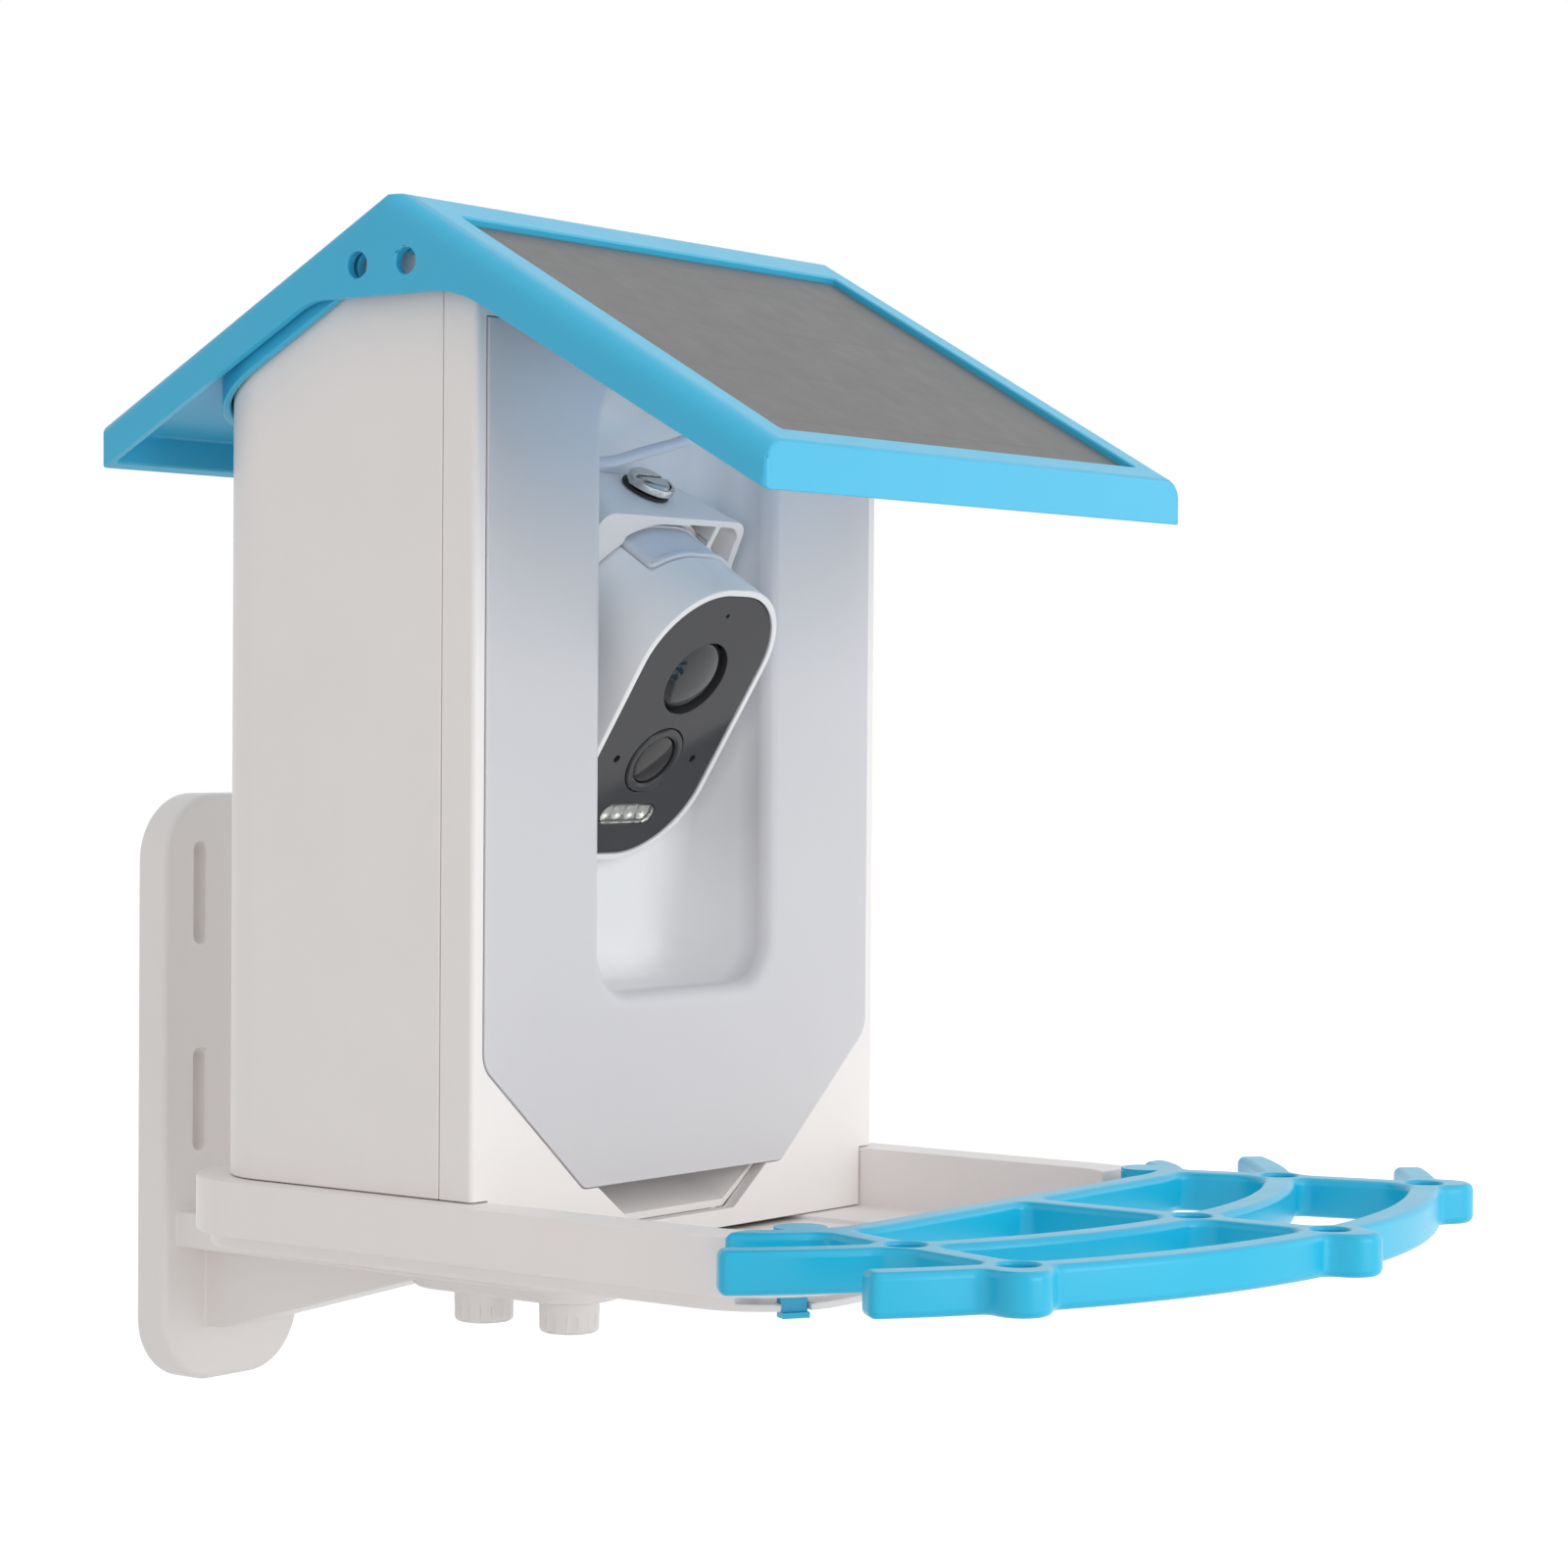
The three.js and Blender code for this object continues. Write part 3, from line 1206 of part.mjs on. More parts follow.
function wallBracket() {
  const plateY = plateBackY - plateThickness;
  const plate = front(roundedRect(plateHalfWidth, plateHeight / 2, plateCorner, 0, plateCentreZ,
    fineSteps), plateY,
    plateBackY);
  const slots = slotZs.flatMap((z) => [-1, 1].map((s) => front(roundedRect(slotWidth / 2, slotLength / 2,
    slotWidth / 2,
    s * slotX, z), plateY - overrun, plateBackY + overrun)));
  const armOutline = roundedOutline([
    [-armHalfWidth, armFrontY, armHalfWidth * armRoundShare], [armHalfWidth, armFrontY,
      armHalfWidth * armRoundShare],
    [armHalfWidth, plateY + overrun, 0], [-armHalfWidth, plateY + overrun, 0],
  ], fineSteps);
  const arm = plan(armOutline, armTopZ - armThickness, armTopZ);
  const pad = plan(roundedRect(armPadHalfWidth, (armPadRearY - armPadFrontY) / 2,
    armPadHalfWidth * armRoundShare, 0,
    (armPadRearY + armPadFrontY) / 2), armTopZ - armThickness - armPadHeight, armTopZ - overrun);
  const gusset = side([
    [gussetFrontY, armTopZ - overrun], [plateY + overrun, armTopZ - overrun], [plateY + overrun,
      gussetFootZ],
    [plateY - gussetToe, gussetFootZ], [gussetFrontY, gussetFrontZ],
  ].map(([y, z]) => new THREE.Vector2(y, z)), -gussetHalfWidth, gussetHalfWidth);
  const holes = screwYs.map((y) => plan(circle(studRadius + gap, 0, y), gussetFootZ, armTopZ + overrun));
  return cut(join(plate, arm, pad, gusset), ...slots, ...holes);
}

// A band along an arc about a centre on X = 0
function arcBand(centreY, radius, endX, z0, z1) {
  const sweep = Math.asin(endX / radius);
  const half = perchBar / 2;
  const points = [];
  for (const [reach, sign] of [[radius + half, 1], [radius - half, -1]]) {
    for (let i = 0; i <= arcPieces; i += 1) {
      const angle = sign * sweep * (1 - (2 * i) / arcPieces);
      points.push(new THREE.Vector2(reach * Math.sin(angle), centreY - reach * Math.cos(angle)));
    }
  }
  return plan(points, z0, z1);
}

function bar(x0, y0, x1, y1, z0, z1) {
  const along = new THREE.Vector2(x1 - x0, y1 - y0).normalize().multiplyScalar(perchBar / 2);
  const across = new THREE.Vector2(-along.y, along.x);
  const points = [[x0, y0, -1], [x1, y1, -1], [x1, y1, 1], [x0, y0, 1]].map(([x, y,
    s]) => new THREE.Vector2(
    x + s * across.x, y + s * across.y));
  return plan(points, z0, z1);
}

function perch() {
  const z1 = perchTopZ;
  const z0 = z1 - perchHeight;
  const inner = arcPoint(innerArcCentreY, innerArcReach);
  const outer = arcPoint(outerArcCentreY, outerArcReach);
  const arcs = [
    arcBand(innerArcCentreY, innerArcReach + innerArcCentreY, innerArcEndX, z0, z1),
    arcBand(outerArcCentreY, outerArcReach + outerArcCentreY, outerArcEndX, z0, z1),
  ];
  const spokes = [-1, 1].flatMap((s) => [
    bar(s * spokeRootX, rootY, s * spokeInnerX, inner(spokeInnerX), z0, z1),
    bar(s * spokeInnerX, inner(spokeInnerX), s * spokeOuterX, outer(spokeOuterX), z0, z1),
  ]);
  const middle = bar(0, rootY, 0, -outerArcReach, z0, z1);
  const nodes = [[0, -innerArcReach], [0, -outerArcReach], ...[-1, 1].flatMap((s) => [
    [s * spokeInnerX, inner(spokeInnerX)], [s * spokeOuterX, outer(spokeOuterX)]])];
  const lobes = nodes.map(([x, y]) => plan(circle(perchLobe, x, y, perchSteps), z0, z1));
  const noses = [[0, -outerArcReach, 0, -1], [spokeOuterX, outer(spokeOuterX), noseX, -noseY],
    [-spokeOuterX, outer(spokeOuterX), -noseX, -noseY]].map(([x, y, dx, dy]) => plan(
    circle(perchLobe, x + dx * noseReach, y + dy * noseReach, perchSteps), z0, z1));
  const holes = nodes.map(([x, y]) => plan(circle(perchHole / 2, x, y, perchSteps), z0 - overrun,
    z1 + overrun));
  const rail = cut(
    plan(trayOutline(-gap - perchBar), z0, z1), plan(trayOutline(-gap), z0 - overrun, z1 + overrun),
    box(-roofHalf * 2, roofHalf * 2, railEndY, trayRearY + roofHalf, z0 - overrun, z1 + overrun));
  const fingers = [-1, 1].map((s) => fingerParts(s, z1));
  return join(cut(join(rail, ...arcs, ...spokes, middle, ...lobes, ...noses), ...holes), ...fingers);
}

// Height of an arc at an x, as a function
function arcPoint(centreY, reach) {
  const radius = reach + centreY;
  return (x) => centreY - Math.sqrt(radius * radius - x * x);
}

// Lobe lapping over the tray's front wall, with the snap finger that goes down through the tray floor
function fingerParts(s, z1) {
  const footZ = trayFloorZ() - trayFloor - gap - fingerHookHeight;
  const outer = trayCornerRadius - fingerInset;
  const half = fingerWidth / 2;
  const local = join(
    box(outer - fingerThickness, outer, -half, half, footZ, z1 - overrun),
    box(outer - fingerThickness / 2, outer + fingerHook, -half, half, footZ, footZ + fingerHookHeight),
    plan(circle(lobeRadius, fingerReach(), 0, perchSteps), -trayLipDrop + gap, z1));
  const right = placed(local, fingerMatrix());
  return s > 0 ? right : mirroredX(right);
}

// Distance of the lobe from the tray corner's centre
function fingerReach() {
  return Math.hypot(fingerX - trayHalfWidth + trayCornerRadius, fingerY - trayFrontY - trayCornerRadius);
}

function fingerMatrix() {
  const cornerX = trayHalfWidth - trayCornerRadius;
  const cornerY = trayFrontY + trayCornerRadius;
  return new THREE.Matrix4().makeTranslation(cornerX, cornerY, 0)
    .multiply(new THREE.Matrix4().makeRotationZ(Math.atan2(fingerY - cornerY, fingerX - cornerX)));
}

// Slot in the tray floor for the right finger, with a notch through the lower ring beside its hook
function fingerSlot() {
  const outer = trayCornerRadius - fingerInset;
  const half = fingerWidth / 2 + gap;
  const footZ = trayFloorZ() - trayFloor;
  const slot = box(outer - fingerThickness - gap, outer + gap, -half, half, footZ - overrun, 0);
  const notch = box(outer, trayCornerRadius, -half, half, footZ - overrun, footZ + fingerNotch);
  return placed(join(slot, notch), fingerMatrix());
}

// The lead from the camera to the panel, swept along its points
function solarCable() {
  const plugEnd = bodyDepth - bodyWall + plugLength;
  const start = plugEnd + gap;
  const nearPlug = [[0, start, 0], [0, start + leadInReach, 0],
    ...cableLoop.map(([x, y, z]) => [x, plugEnd + y, z])];
  const leadIn = nearPlug.map((p) => new THREE.Vector3(...p).applyMatrix4(cameraMatrix));
  const route = [...leadIn, ...cablePoints.map((p) => new THREE.Vector3(...p))];
  const curve = new THREE.CatmullRomCurve3(route, false, "centripetal");
  const steps = Math.round(curve.getLength() / (cableRadius * 4));
  const ring = circle(cableRadius, 0, 0, cableSides);
  return solidOf(new THREE.ExtrudeGeometry(new THREE.Shape(ring), { steps, bevelEnabled: false,
    extrudePath: curve }));
}

const group = new THREE.Group();
group.name = "smart_bird_feeder";
const material = new THREE.MeshStandardMaterial({ color: partColor });

function add(name, solid, matrix = null) {
  const geometry = geometryOf(matrix ? placed(solid, matrix) : solid);
  geometry.translate(0, -plateBackY, -plateCentreZ);
  geometry.computeVertexNormals();
  const mesh = new THREE.Mesh(geometry, material);
  mesh.name = name;
  group.add(mesh);
}

const shift = (x, y, z) => new THREE.Matrix4().makeTranslation(x, y, z);
const inCamera = (matrix) => cameraMatrix.clone().multiply(matrix);
const quarterX = new THREE.Matrix4().makeRotationX(-Math.PI / 2);

add("wall_bracket", wallBracket());
const knobZ = armTopZ - armThickness - armPadHeight - gap;
add("thumb_screw_front", thumbScrew(), shift(0, screwYs[0], knobZ));
add("thumb_screw_rear", thumbScrew(), shift(0, screwYs[1], knobZ));
const insertZ = armTopZ + 2 * gap;
add("tray_insert_front", insert(), shift(0, screwYs[0], insertZ));
add("tray_insert_rear", insert(), shift(0, screwYs[1], insertZ));
add("tray", tray());
traySpots.forEach(([sx, y], i) => add(`tray_screw_${i + 1}`, screw(screwLength), shift(postX(sx), y,
  -screwSeat - gap)));
add("house_shell", houseShell());
add("front_frame", frontFrame());
add("window_panel", windowPanel());
add("seed_funnel", seedFunnel());
add("camera_cradle", cameraCradle());
const screwTurn = new THREE.Matrix4().makeRotationX(Math.PI / 2);
const cradleScrewY = tabFrontY() + cradleWall * 2 + gap;
[-1, 1].forEach((s) => add(s < 0 ? "cradle_screw_left" : "cradle_screw_right",
  screw(screwLength - screwHeadHeight),
  shift(s * cradleBossX, cradleScrewY, cradleBossZ).multiply(screwTurn)));
add("camera_housing", cameraHousing(), cameraMatrix);
add("camera_faceplate", cameraFaceplate(), cameraMatrix);
add("face_gasket", faceGasket(), cameraMatrix);
// Turned camera pieces have their axis along the view axis, with depth as their height
add("pir_lens", pirLens(), inCamera(shift(0, 0, pirZ).multiply(quarterX)));
add("lens_ring", lensRing(), inCamera(shift(0, 0, lensZ).multiply(quarterX)));
add("lens_glass", lensGlass(), inCamera(shift(0, 0, lensZ).multiply(quarterX)));
add("led_window", ledWindow(), cameraMatrix);
add("led_board", ledBoard(), cameraMatrix);
add("usb_cover", usbCover(), cameraMatrix);
add("usb_socket", usbSocket(), cameraMatrix);
add("reset_button", resetButton(), inCamera(shift(buttonX, portMiddleY(), 0)));
add("camera_board", cameraBoard(), cameraMatrix);
add("camera_battery_left", battery(), inCamera(shift(-batteryX, batteryY, batteryZ)));
add("camera_battery_right", battery(), inCamera(shift(batteryX, batteryY, batteryZ)));
add("tripod_insert", tripodInsert(), inCamera(shift(0, ringScrewY, 0)));
const washerZ = hoodTopZ + gap;
const headZ = washerZ + washerHeight + gap;
add("screw_washer", washer(), inCamera(shift(0, ringScrewY, washerZ)));
add("ring_screw", ringScrew(), inCamera(shift(0, ringScrewY, headZ)));
add("ring_bail", ringBail(), inCamera(shift(0, ringScrewY, headZ)));
add("cable_plug", cablePlug(), inCamera(quarterX));
add("solar_cable", solarCable());
add("cable_grommet_back", grommet(), shift(backHoleX, pocketBack(backHoleZ) + pocketWall / 2, backHoleZ)
  .multiply(quarterX));
add("cable_grommet_top", grommet(), shift(ceilingHoleX, ceilingHoleY, pocketTopZ + pocketWall / 2));
add("roof_shell", roofShell());
const panelMiddle = panelFromRidge + panelWidth / 2;
add("solar_panel", solarPanel(), slopeMatrix.clone().multiply(shift(0, -panelMiddle, -panelSink)));
add("junction_box", junctionBox(), slopeMatrix.clone().multiply(shift(junctionX, -junctionFromRidge,
  -panelSink - panelThickness - gap)));
knuckleStarts.forEach((x, i) => add(i ? "hinge_pin_right" : "hinge_pin_left", hingePin(), shift(x,
  hingeY, hingeZ)));
add("perch", perch());

export default group;
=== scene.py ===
"""Looks for the bird feeder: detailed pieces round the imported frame, their materials, a studio, a camera"""
import bmesh
import bpy
import json
import numpy as np
from contextlib import contextmanager
from math import acos, asin, atan2, copysign, cos, dist, hypot, pi, radians, sin, sqrt, tan
from mathutils import Matrix, Vector
from mathutils.geometry import delaunay_2d_cdt


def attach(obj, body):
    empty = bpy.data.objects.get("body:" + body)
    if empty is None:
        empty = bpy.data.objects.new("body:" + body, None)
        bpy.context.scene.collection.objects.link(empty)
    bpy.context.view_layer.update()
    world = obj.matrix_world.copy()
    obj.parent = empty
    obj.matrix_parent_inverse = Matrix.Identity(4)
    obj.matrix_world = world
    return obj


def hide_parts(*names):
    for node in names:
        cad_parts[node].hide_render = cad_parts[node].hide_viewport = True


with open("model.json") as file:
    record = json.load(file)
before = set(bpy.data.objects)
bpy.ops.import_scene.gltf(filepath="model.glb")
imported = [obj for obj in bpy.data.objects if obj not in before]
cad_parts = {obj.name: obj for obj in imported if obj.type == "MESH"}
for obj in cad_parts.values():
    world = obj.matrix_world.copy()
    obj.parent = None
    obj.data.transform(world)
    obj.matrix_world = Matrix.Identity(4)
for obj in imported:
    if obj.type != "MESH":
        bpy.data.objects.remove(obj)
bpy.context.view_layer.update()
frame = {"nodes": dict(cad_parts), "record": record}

# Shapes are set out in millimetres in the feeder's datum, Y = 0 on the front frame and Z = 0 on the tray rim
MM = 0.001
SHIFT = Vector((0.0, -184.6, -13.2))
GAP, OVER = 0.3, 1.0
ARC, FINE = 12, 64
SIDES = (-1, 1)
EDGE_ANGLE = radians(32)
# Twice the area, in square metres, from which a triangle that faces backwards counts
FOLD = 2e-9


def stand(name, data):
    """A new object in the scene"""
    made = bpy.data.objects.new(name, data)
    bpy.context.scene.collection.objects.link(made)
    return made


# Shapes
@contextmanager
def edited(mesh):
    """The mesh open for edits, put back when they are done"""
    work = bmesh.new()
    work.from_mesh(mesh)
    yield work
    work.to_mesh(mesh)
    work.free()


def mesh_from(verts, faces):
    """A closed mesh with its faces turned outwards"""
    mesh = bpy.data.meshes.new("work")
    mesh.from_pydata([tuple(v) for v in verts], [], faces)
    with edited(mesh) as work:
        bmesh.ops.remove_doubles(work, verts=work.verts, dist=0.0005)
        bmesh.ops.recalc_face_normals(work, faces=work.faces)
    return mesh


def rect(half_w, half_h, radius, cx=0.0, cy=0.0, steps=ARC):
    corner = min(radius, half_w, half_h)
    points = []
    for sx, sy, start in ((1, -1, -90), (1, 1, 0), (-1, 1, 90), (-1, -1, 180)):
        for i in range(steps + 1):
            a = radians(start + 90 * i / steps)
            points.append((cx + sx * (half_w - corner) + corner * cos(a),
                           cy + sy * (half_h - corner) + corner * sin(a)))
    return points


def outlined(corners, steps=ARC):
    """Closed outline from (x, y, radius) corners"""
    points = []
    for i, (x, y, radius) in enumerate(corners):
        here = Vector((x, y))
        if not radius:
            points.append((x, y))
            continue
        before, after = [(Vector(corners[k % len(corners)][:2]) - here).normalized() for k in (i - 1, i + 1)]
        turn = acos(max(-1.0, min(1.0, before.dot(after))))
        centre = here + (before + after).normalized() * (radius / sin(turn / 2))
        ends = [here + way * (radius / tan(turn / 2)) for way in (before, after)]
        a0, a1 = [atan2(end.y - centre.y, end.x - centre.x) for end in ends]
        sweep = (a1 - a0 + pi) % (2 * pi) - pi
        for k in range(steps + 1):
            a = a0 + sweep * k / steps
            points.append((centre.x + radius * cos(a), centre.y + radius * sin(a)))
    return points


def with_twin(points):
    """Outline corners followed by their mirror images, back to the start"""
    return points + [(-x, *rest) for x, *rest in reversed(points)]


def four_corners(half, y0, radius0, y1, radius1, steps):
    return outlined([(-half, y0, radius0), (half, y0, radius0), (half, y1, radius1), (-half, y1, radius1)], steps)


def circle(radius, x=0.0, y=0.0, steps=FINE):
    return [(x + radius * cos(a), y + radius * sin(a)) for a in
            [2 * pi * i / steps for i in range(steps)]]


def tidy_outline(points):
    """The outline without repeated points, anticlockwise"""
    kept = []
    for p in points:
        if not kept or dist(p, kept[-1]) > 1e-4:
            kept.append(p)
    if dist(kept[0], kept[-1]) < 1e-4:
        kept.pop()
    area = sum(a[0] * b[1] - b[0] * a[1] for a, b in zip(kept, kept[1:] + kept[:1]))
    return kept if area > 0 else kept[::-1]


def inset(points, distance):
    """An anticlockwise outline moved inwards"""
    if not distance:
        return points
    made = []
    for i, p in enumerate(points):
        a, b, c = Vector(points[i - 1]), Vector(p), Vector(points[(i + 1) % len(points)])
        d1, d2 = (b - a).normalized(), (c - b).normalized()
        n1, n2 = Vector((-d1.y, d1.x)), Vector((-d2.y, d2.x))
        made.append((b + (n1 + n2) * (distance / (1 + n1.dot(n2)))).to_tuple())
    return made


def walls(rings, start=0):
    """Faces between equal rings of points that follow each other from a first number"""
    size = len(rings[0])
    faces = []
    for r in range(len(rings) - 1):
        for i in range(size):
            a, b = start + r * size + i, start + r * size + (i + 1) % size
            faces.append((a, b, b + size, a + size))
    return faces


def skin(rings):
    """Equal rings of points joined into a closed mesh with flat ends"""
    verts = [p for ring in rings for p in ring]
    size = len(rings[0])
    ends = [tuple(range(size))[::-1], tuple(range(len(verts) - size, len(verts)))]
    return mesh_from(verts, ends + walls(rings))


def quarter(steps):
    return [pi / 2 * k / steps for k in range(steps + 1)]


def rim(edge, steps=3):
    """Rise and inset of the levels up a rounded rim"""
    return [(edge * (1 - cos(t)), edge * (1 - sin(t))) for t in quarter(steps)] if edge else [(0.0, 0.0)]


PLAN = lambda a, b, d: (a, b, d)
SIDE = lambda a, b, d: (d, a, b)
FRONT = lambda a, b, d: (a, d, b)


def prism(points, low, high, way=PLAN, edge=0.0, edge_high=None):
    """An outline stretched from low to high, its rims rounded"""
    outline = tidy_outline(points)
    levels = [(low + rise, step) for rise, step in rim(edge)]
    levels += [(high - rise, step) for rise, step in rim(edge if edge_high is None else edge_high)[::-1]]
    return skin([[way(a, b, d) for a, b in inset(outline, step)] for d, step in levels])


def rod(radius, low, high, x=0.0, y=0.0, steps=FINE, way=PLAN):
    return prism(circle(radius, x, y, steps), low, high, way)


def box(x0, x1, y0, y1, z0, z1):
    return prism([(x0, y0), (x1, y0), (x1, y1), (x0, y1)], z0, z1)


def side_boxes(x0, x1, *rest):
    """A box and its mirror image across X"""
    return [box(*sorted((s * x0, s * x1)), *rest) for s in SIDES]


def turned(profile, steps=FINE):
    """A piece turned about Z from (radius, z) points, closed on the axis or on itself"""
    verts, faces, rows = [], [], []
    for r, z in profile:
        size = 1 if r < 1e-6 else steps
        rows.append([len(verts) + i % size for i in range(steps)])
        verts += [(x, y, z) for x, y in circle(r, steps=steps)[:size]]
    closed = profile[0][0] > 1e-6 and profile[0] != profile[-1]
    for low, high in zip(rows, rows[1:] + rows[:1] if closed else rows[1:]):
        for i in range(steps):
            j = (i + 1) % steps
            face = tuple(dict.fromkeys((low[i], low[j], high[j], high[i])))
            if len(face) > 2:
                faces.append(face)
    return mesh_from(verts, faces)


def curve_through(points, share):
    """Points along a smooth curve through the given ones, centripetal so that it doesn't overshoot"""
    pts = [Vector(p) for p in points]
    pts = [pts[0] * 2 - pts[1], *pts, pts[-1] * 2 - pts[-2]]
    made = []
    for i in range(1, len(pts) - 2):
        p = pts[i - 1:i + 3]
        t = [0.0]
        for a, b in zip(p, p[1:]):
            t.append(t[-1] + max((b - a).length, 1e-6) ** 0.5)
        for k in range(share):
            u = t[1] + (t[2] - t[1]) * k / share
            row = p
            for n in (1, 2):
                row = [a.lerp(b, (u - t[j]) / (t[j + n] - t[j])) for j, (a, b) in enumerate(zip(row, row[1:]))]
            made.append(row[0].lerp(row[1], (u - t[1]) / (t[2] - t[1])))
    return made + [pts[-2]]


def tube(path, radius, sides):
    """A round tube along a path, without twist"""
    normal = (path[1] - path[0]).orthogonal().normalized()
    rings = []
    for i, p in enumerate(path):
        ahead = (path[min(i + 1, len(path) - 1)] - path[max(i - 1, 0)]).normalized()
        normal = (normal - ahead * normal.dot(ahead)).normalized()
        across = ahead.cross(normal)
        rings.append([p + (normal * a + across * b) * radius for a, b in circle(1.0, steps=sides)])
    return skin(rings)


def place(mesh, matrix):
    mesh.transform(matrix)
    return mesh


def shift(x, y, z):
    return Matrix.Translation((x, y, z))


def tilt(angle):
    return Matrix.Rotation(angle, 4, "X")


TO_VIEW = tilt(-pi / 2)


def mirrored(mesh):
    """A mirror image across X"""
    twin = place(mesh.copy(), Matrix.Scale(-1, 4, (1, 0, 0)))
    twin.flip_normals()
    return twin


def evaluated(made):
    """The mesh that an object's modifiers make"""
    graph = bpy.context.evaluated_depsgraph_get()
    graph.update()
    return bpy.data.meshes.new_from_object(made.evaluated_get(graph))


def combine(base, tools, operation):
    """Joins, cuts or meets solid meshes"""
    made = [stand("work", m) for m in (base, *tools)]
    for tool in made[1:]:
        step = made[0].modifiers.new("step", "BOOLEAN")
        step.object, step.operation, step.solver = tool, operation, "MANIFOLD"
    result = evaluated(made[0])
    for o in made:
        bpy.data.objects.remove(o)
    if not result.polygons:
        raise RuntimeError(f"an empty shape came out of {operation}")
    return result


def join(base, *tools):
    return combine(base, tools, "UNION")


def cut(base, *tools):
    return combine(base, tools, "DIFFERENCE")


def common(base, *tools):
    return combine(base, tools, "INTERSECT")


def filled(flat, after, near):
    """Triangles over outlines, and how often the outlines pass each one's middle on their way up and down"""
    spots, _, parts, sources, *_ = delaunay_2d_cdt([Vector(p) for p in flat], list(enumerate(after)), [], 0, near)
    middles = np.array([sum((spots[k] for k in part), Vector((0, 0))) / len(part) for part in parts])
    (x0, y0), (x1, y1), x, y = flat.T, flat[after].T, middles[:, :1], middles[:, 1:]
    passed = x < x0 + (y - y0) / np.where(y1 == y0, 1, y1 - y0) * (x1 - x0)
    up, down = [(passed & (a <= y) & (b > y)).sum(1) for a, b in ((y0, y1), (y1, y0))]
    return spots, sources, zip(parts, up, down)


def refilled(mesh):
    """The mesh with the flat faces filled anew whose border the bevel has folded over itself"""
    mesh.calc_loop_triangles()
    folded = set()
    for t in mesh.loop_triangles:
        face = mesh.polygons[t.polygon_index]
        a, b, c = (mesh.vertices[v].co for v in t.vertices)
        if len(face.vertices) > 4 and (b - a).cross(c - a).dot(face.normal) < -FOLD:
            folded.add(t.polygon_index)
    with edited(mesh) as work:
        work.faces.ensure_lookup_table()
        spent = [work.faces[k] for k in sorted(folded)]
        for face in spent:
            turn = face.normal.to_track_quat("Z", "Y").to_matrix()
            corners = list(face.verts)
            laid = [turn.transposed() @ v.co / MM for v in corners]
            height = sum(p.z for p in laid) / len(laid)
            after = [*range(1, len(laid)), 0]
            spots, sources, parts = filled(np.array([p.xy for p in laid]), after, 1e-7)
            own = {k: corners[source[0]] for k, source in enumerate(sources) if source}
            for part in [part for part, up, down in parts if up > down]:
                for k in part:
                    if k not in own:
                        own[k] = work.verts.new(turn @ Vector((*spots[k], height)) * MM)
                verts = [own[k] for k in part]
                if len(set(verts)) == len(verts) and not work.faces.get(verts):
                    work.faces.new(verts).smooth = True
        bmesh.ops.delete(work, geom=spent, context="FACES_ONLY")
    return mesh


def piece(name, mesh, node, material, edge=0.0, matrix=Matrix(), angle=EDGE_ANGLE):
    """A finished piece in metres, its sharp edges rounded, riding with the node that it stands for"""
    mesh.transform(matrix)
    mesh.transform(Matrix.Scale(MM, 4) @ Matrix.Translation(SHIFT))
    with edited(mesh) as work:
        bmesh.ops.remove_doubles(work, verts=work.verts, dist=0.000004)
        for face in work.faces:
            face.smooth = True
        for e in work.edges:
            e.smooth = len(e.link_faces) != 2 or e.calc_face_angle(0.0) < angle
    mesh.materials.clear()
    mesh.materials.append(material)
    made = stand(name, mesh)
    if edge:
        bevel = made.modifiers.new("edges", "BEVEL")
        bevel.width, bevel.segments, bevel.miter_outer = edge * MM, 3, "MITER_ARC"
        bevel.limit_method, bevel.angle_limit, bevel.use_clamp_overlap = "ANGLE", angle, False
        made.data = refilled(evaluated(made))
        made.modifiers.clear()
    normals = made.modifiers.new("normals", "WEIGHTED_NORMAL")
    normals.keep_sharp, normals.weight = True, 60
    record = frame["record"]
    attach(made, next(b for b, members in record["behaviour"]["bodies"].items() if node in members))
    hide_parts(node)


# Materials
def add(tree, kind, sockets, **settings):
    """A new node with its settings, each socket set to a value or linked to an output"""
    made = tree.nodes.new("ShaderNode" + kind)
    for key, value in settings.items():
        setattr(made, key, value)
    for key, value in sockets.items():
        if isinstance(value, bpy.types.NodeSocket):
            tree.links.new(value, made.inputs[key])
        else:
            made.inputs[key].default_value = value
    return made.outputs


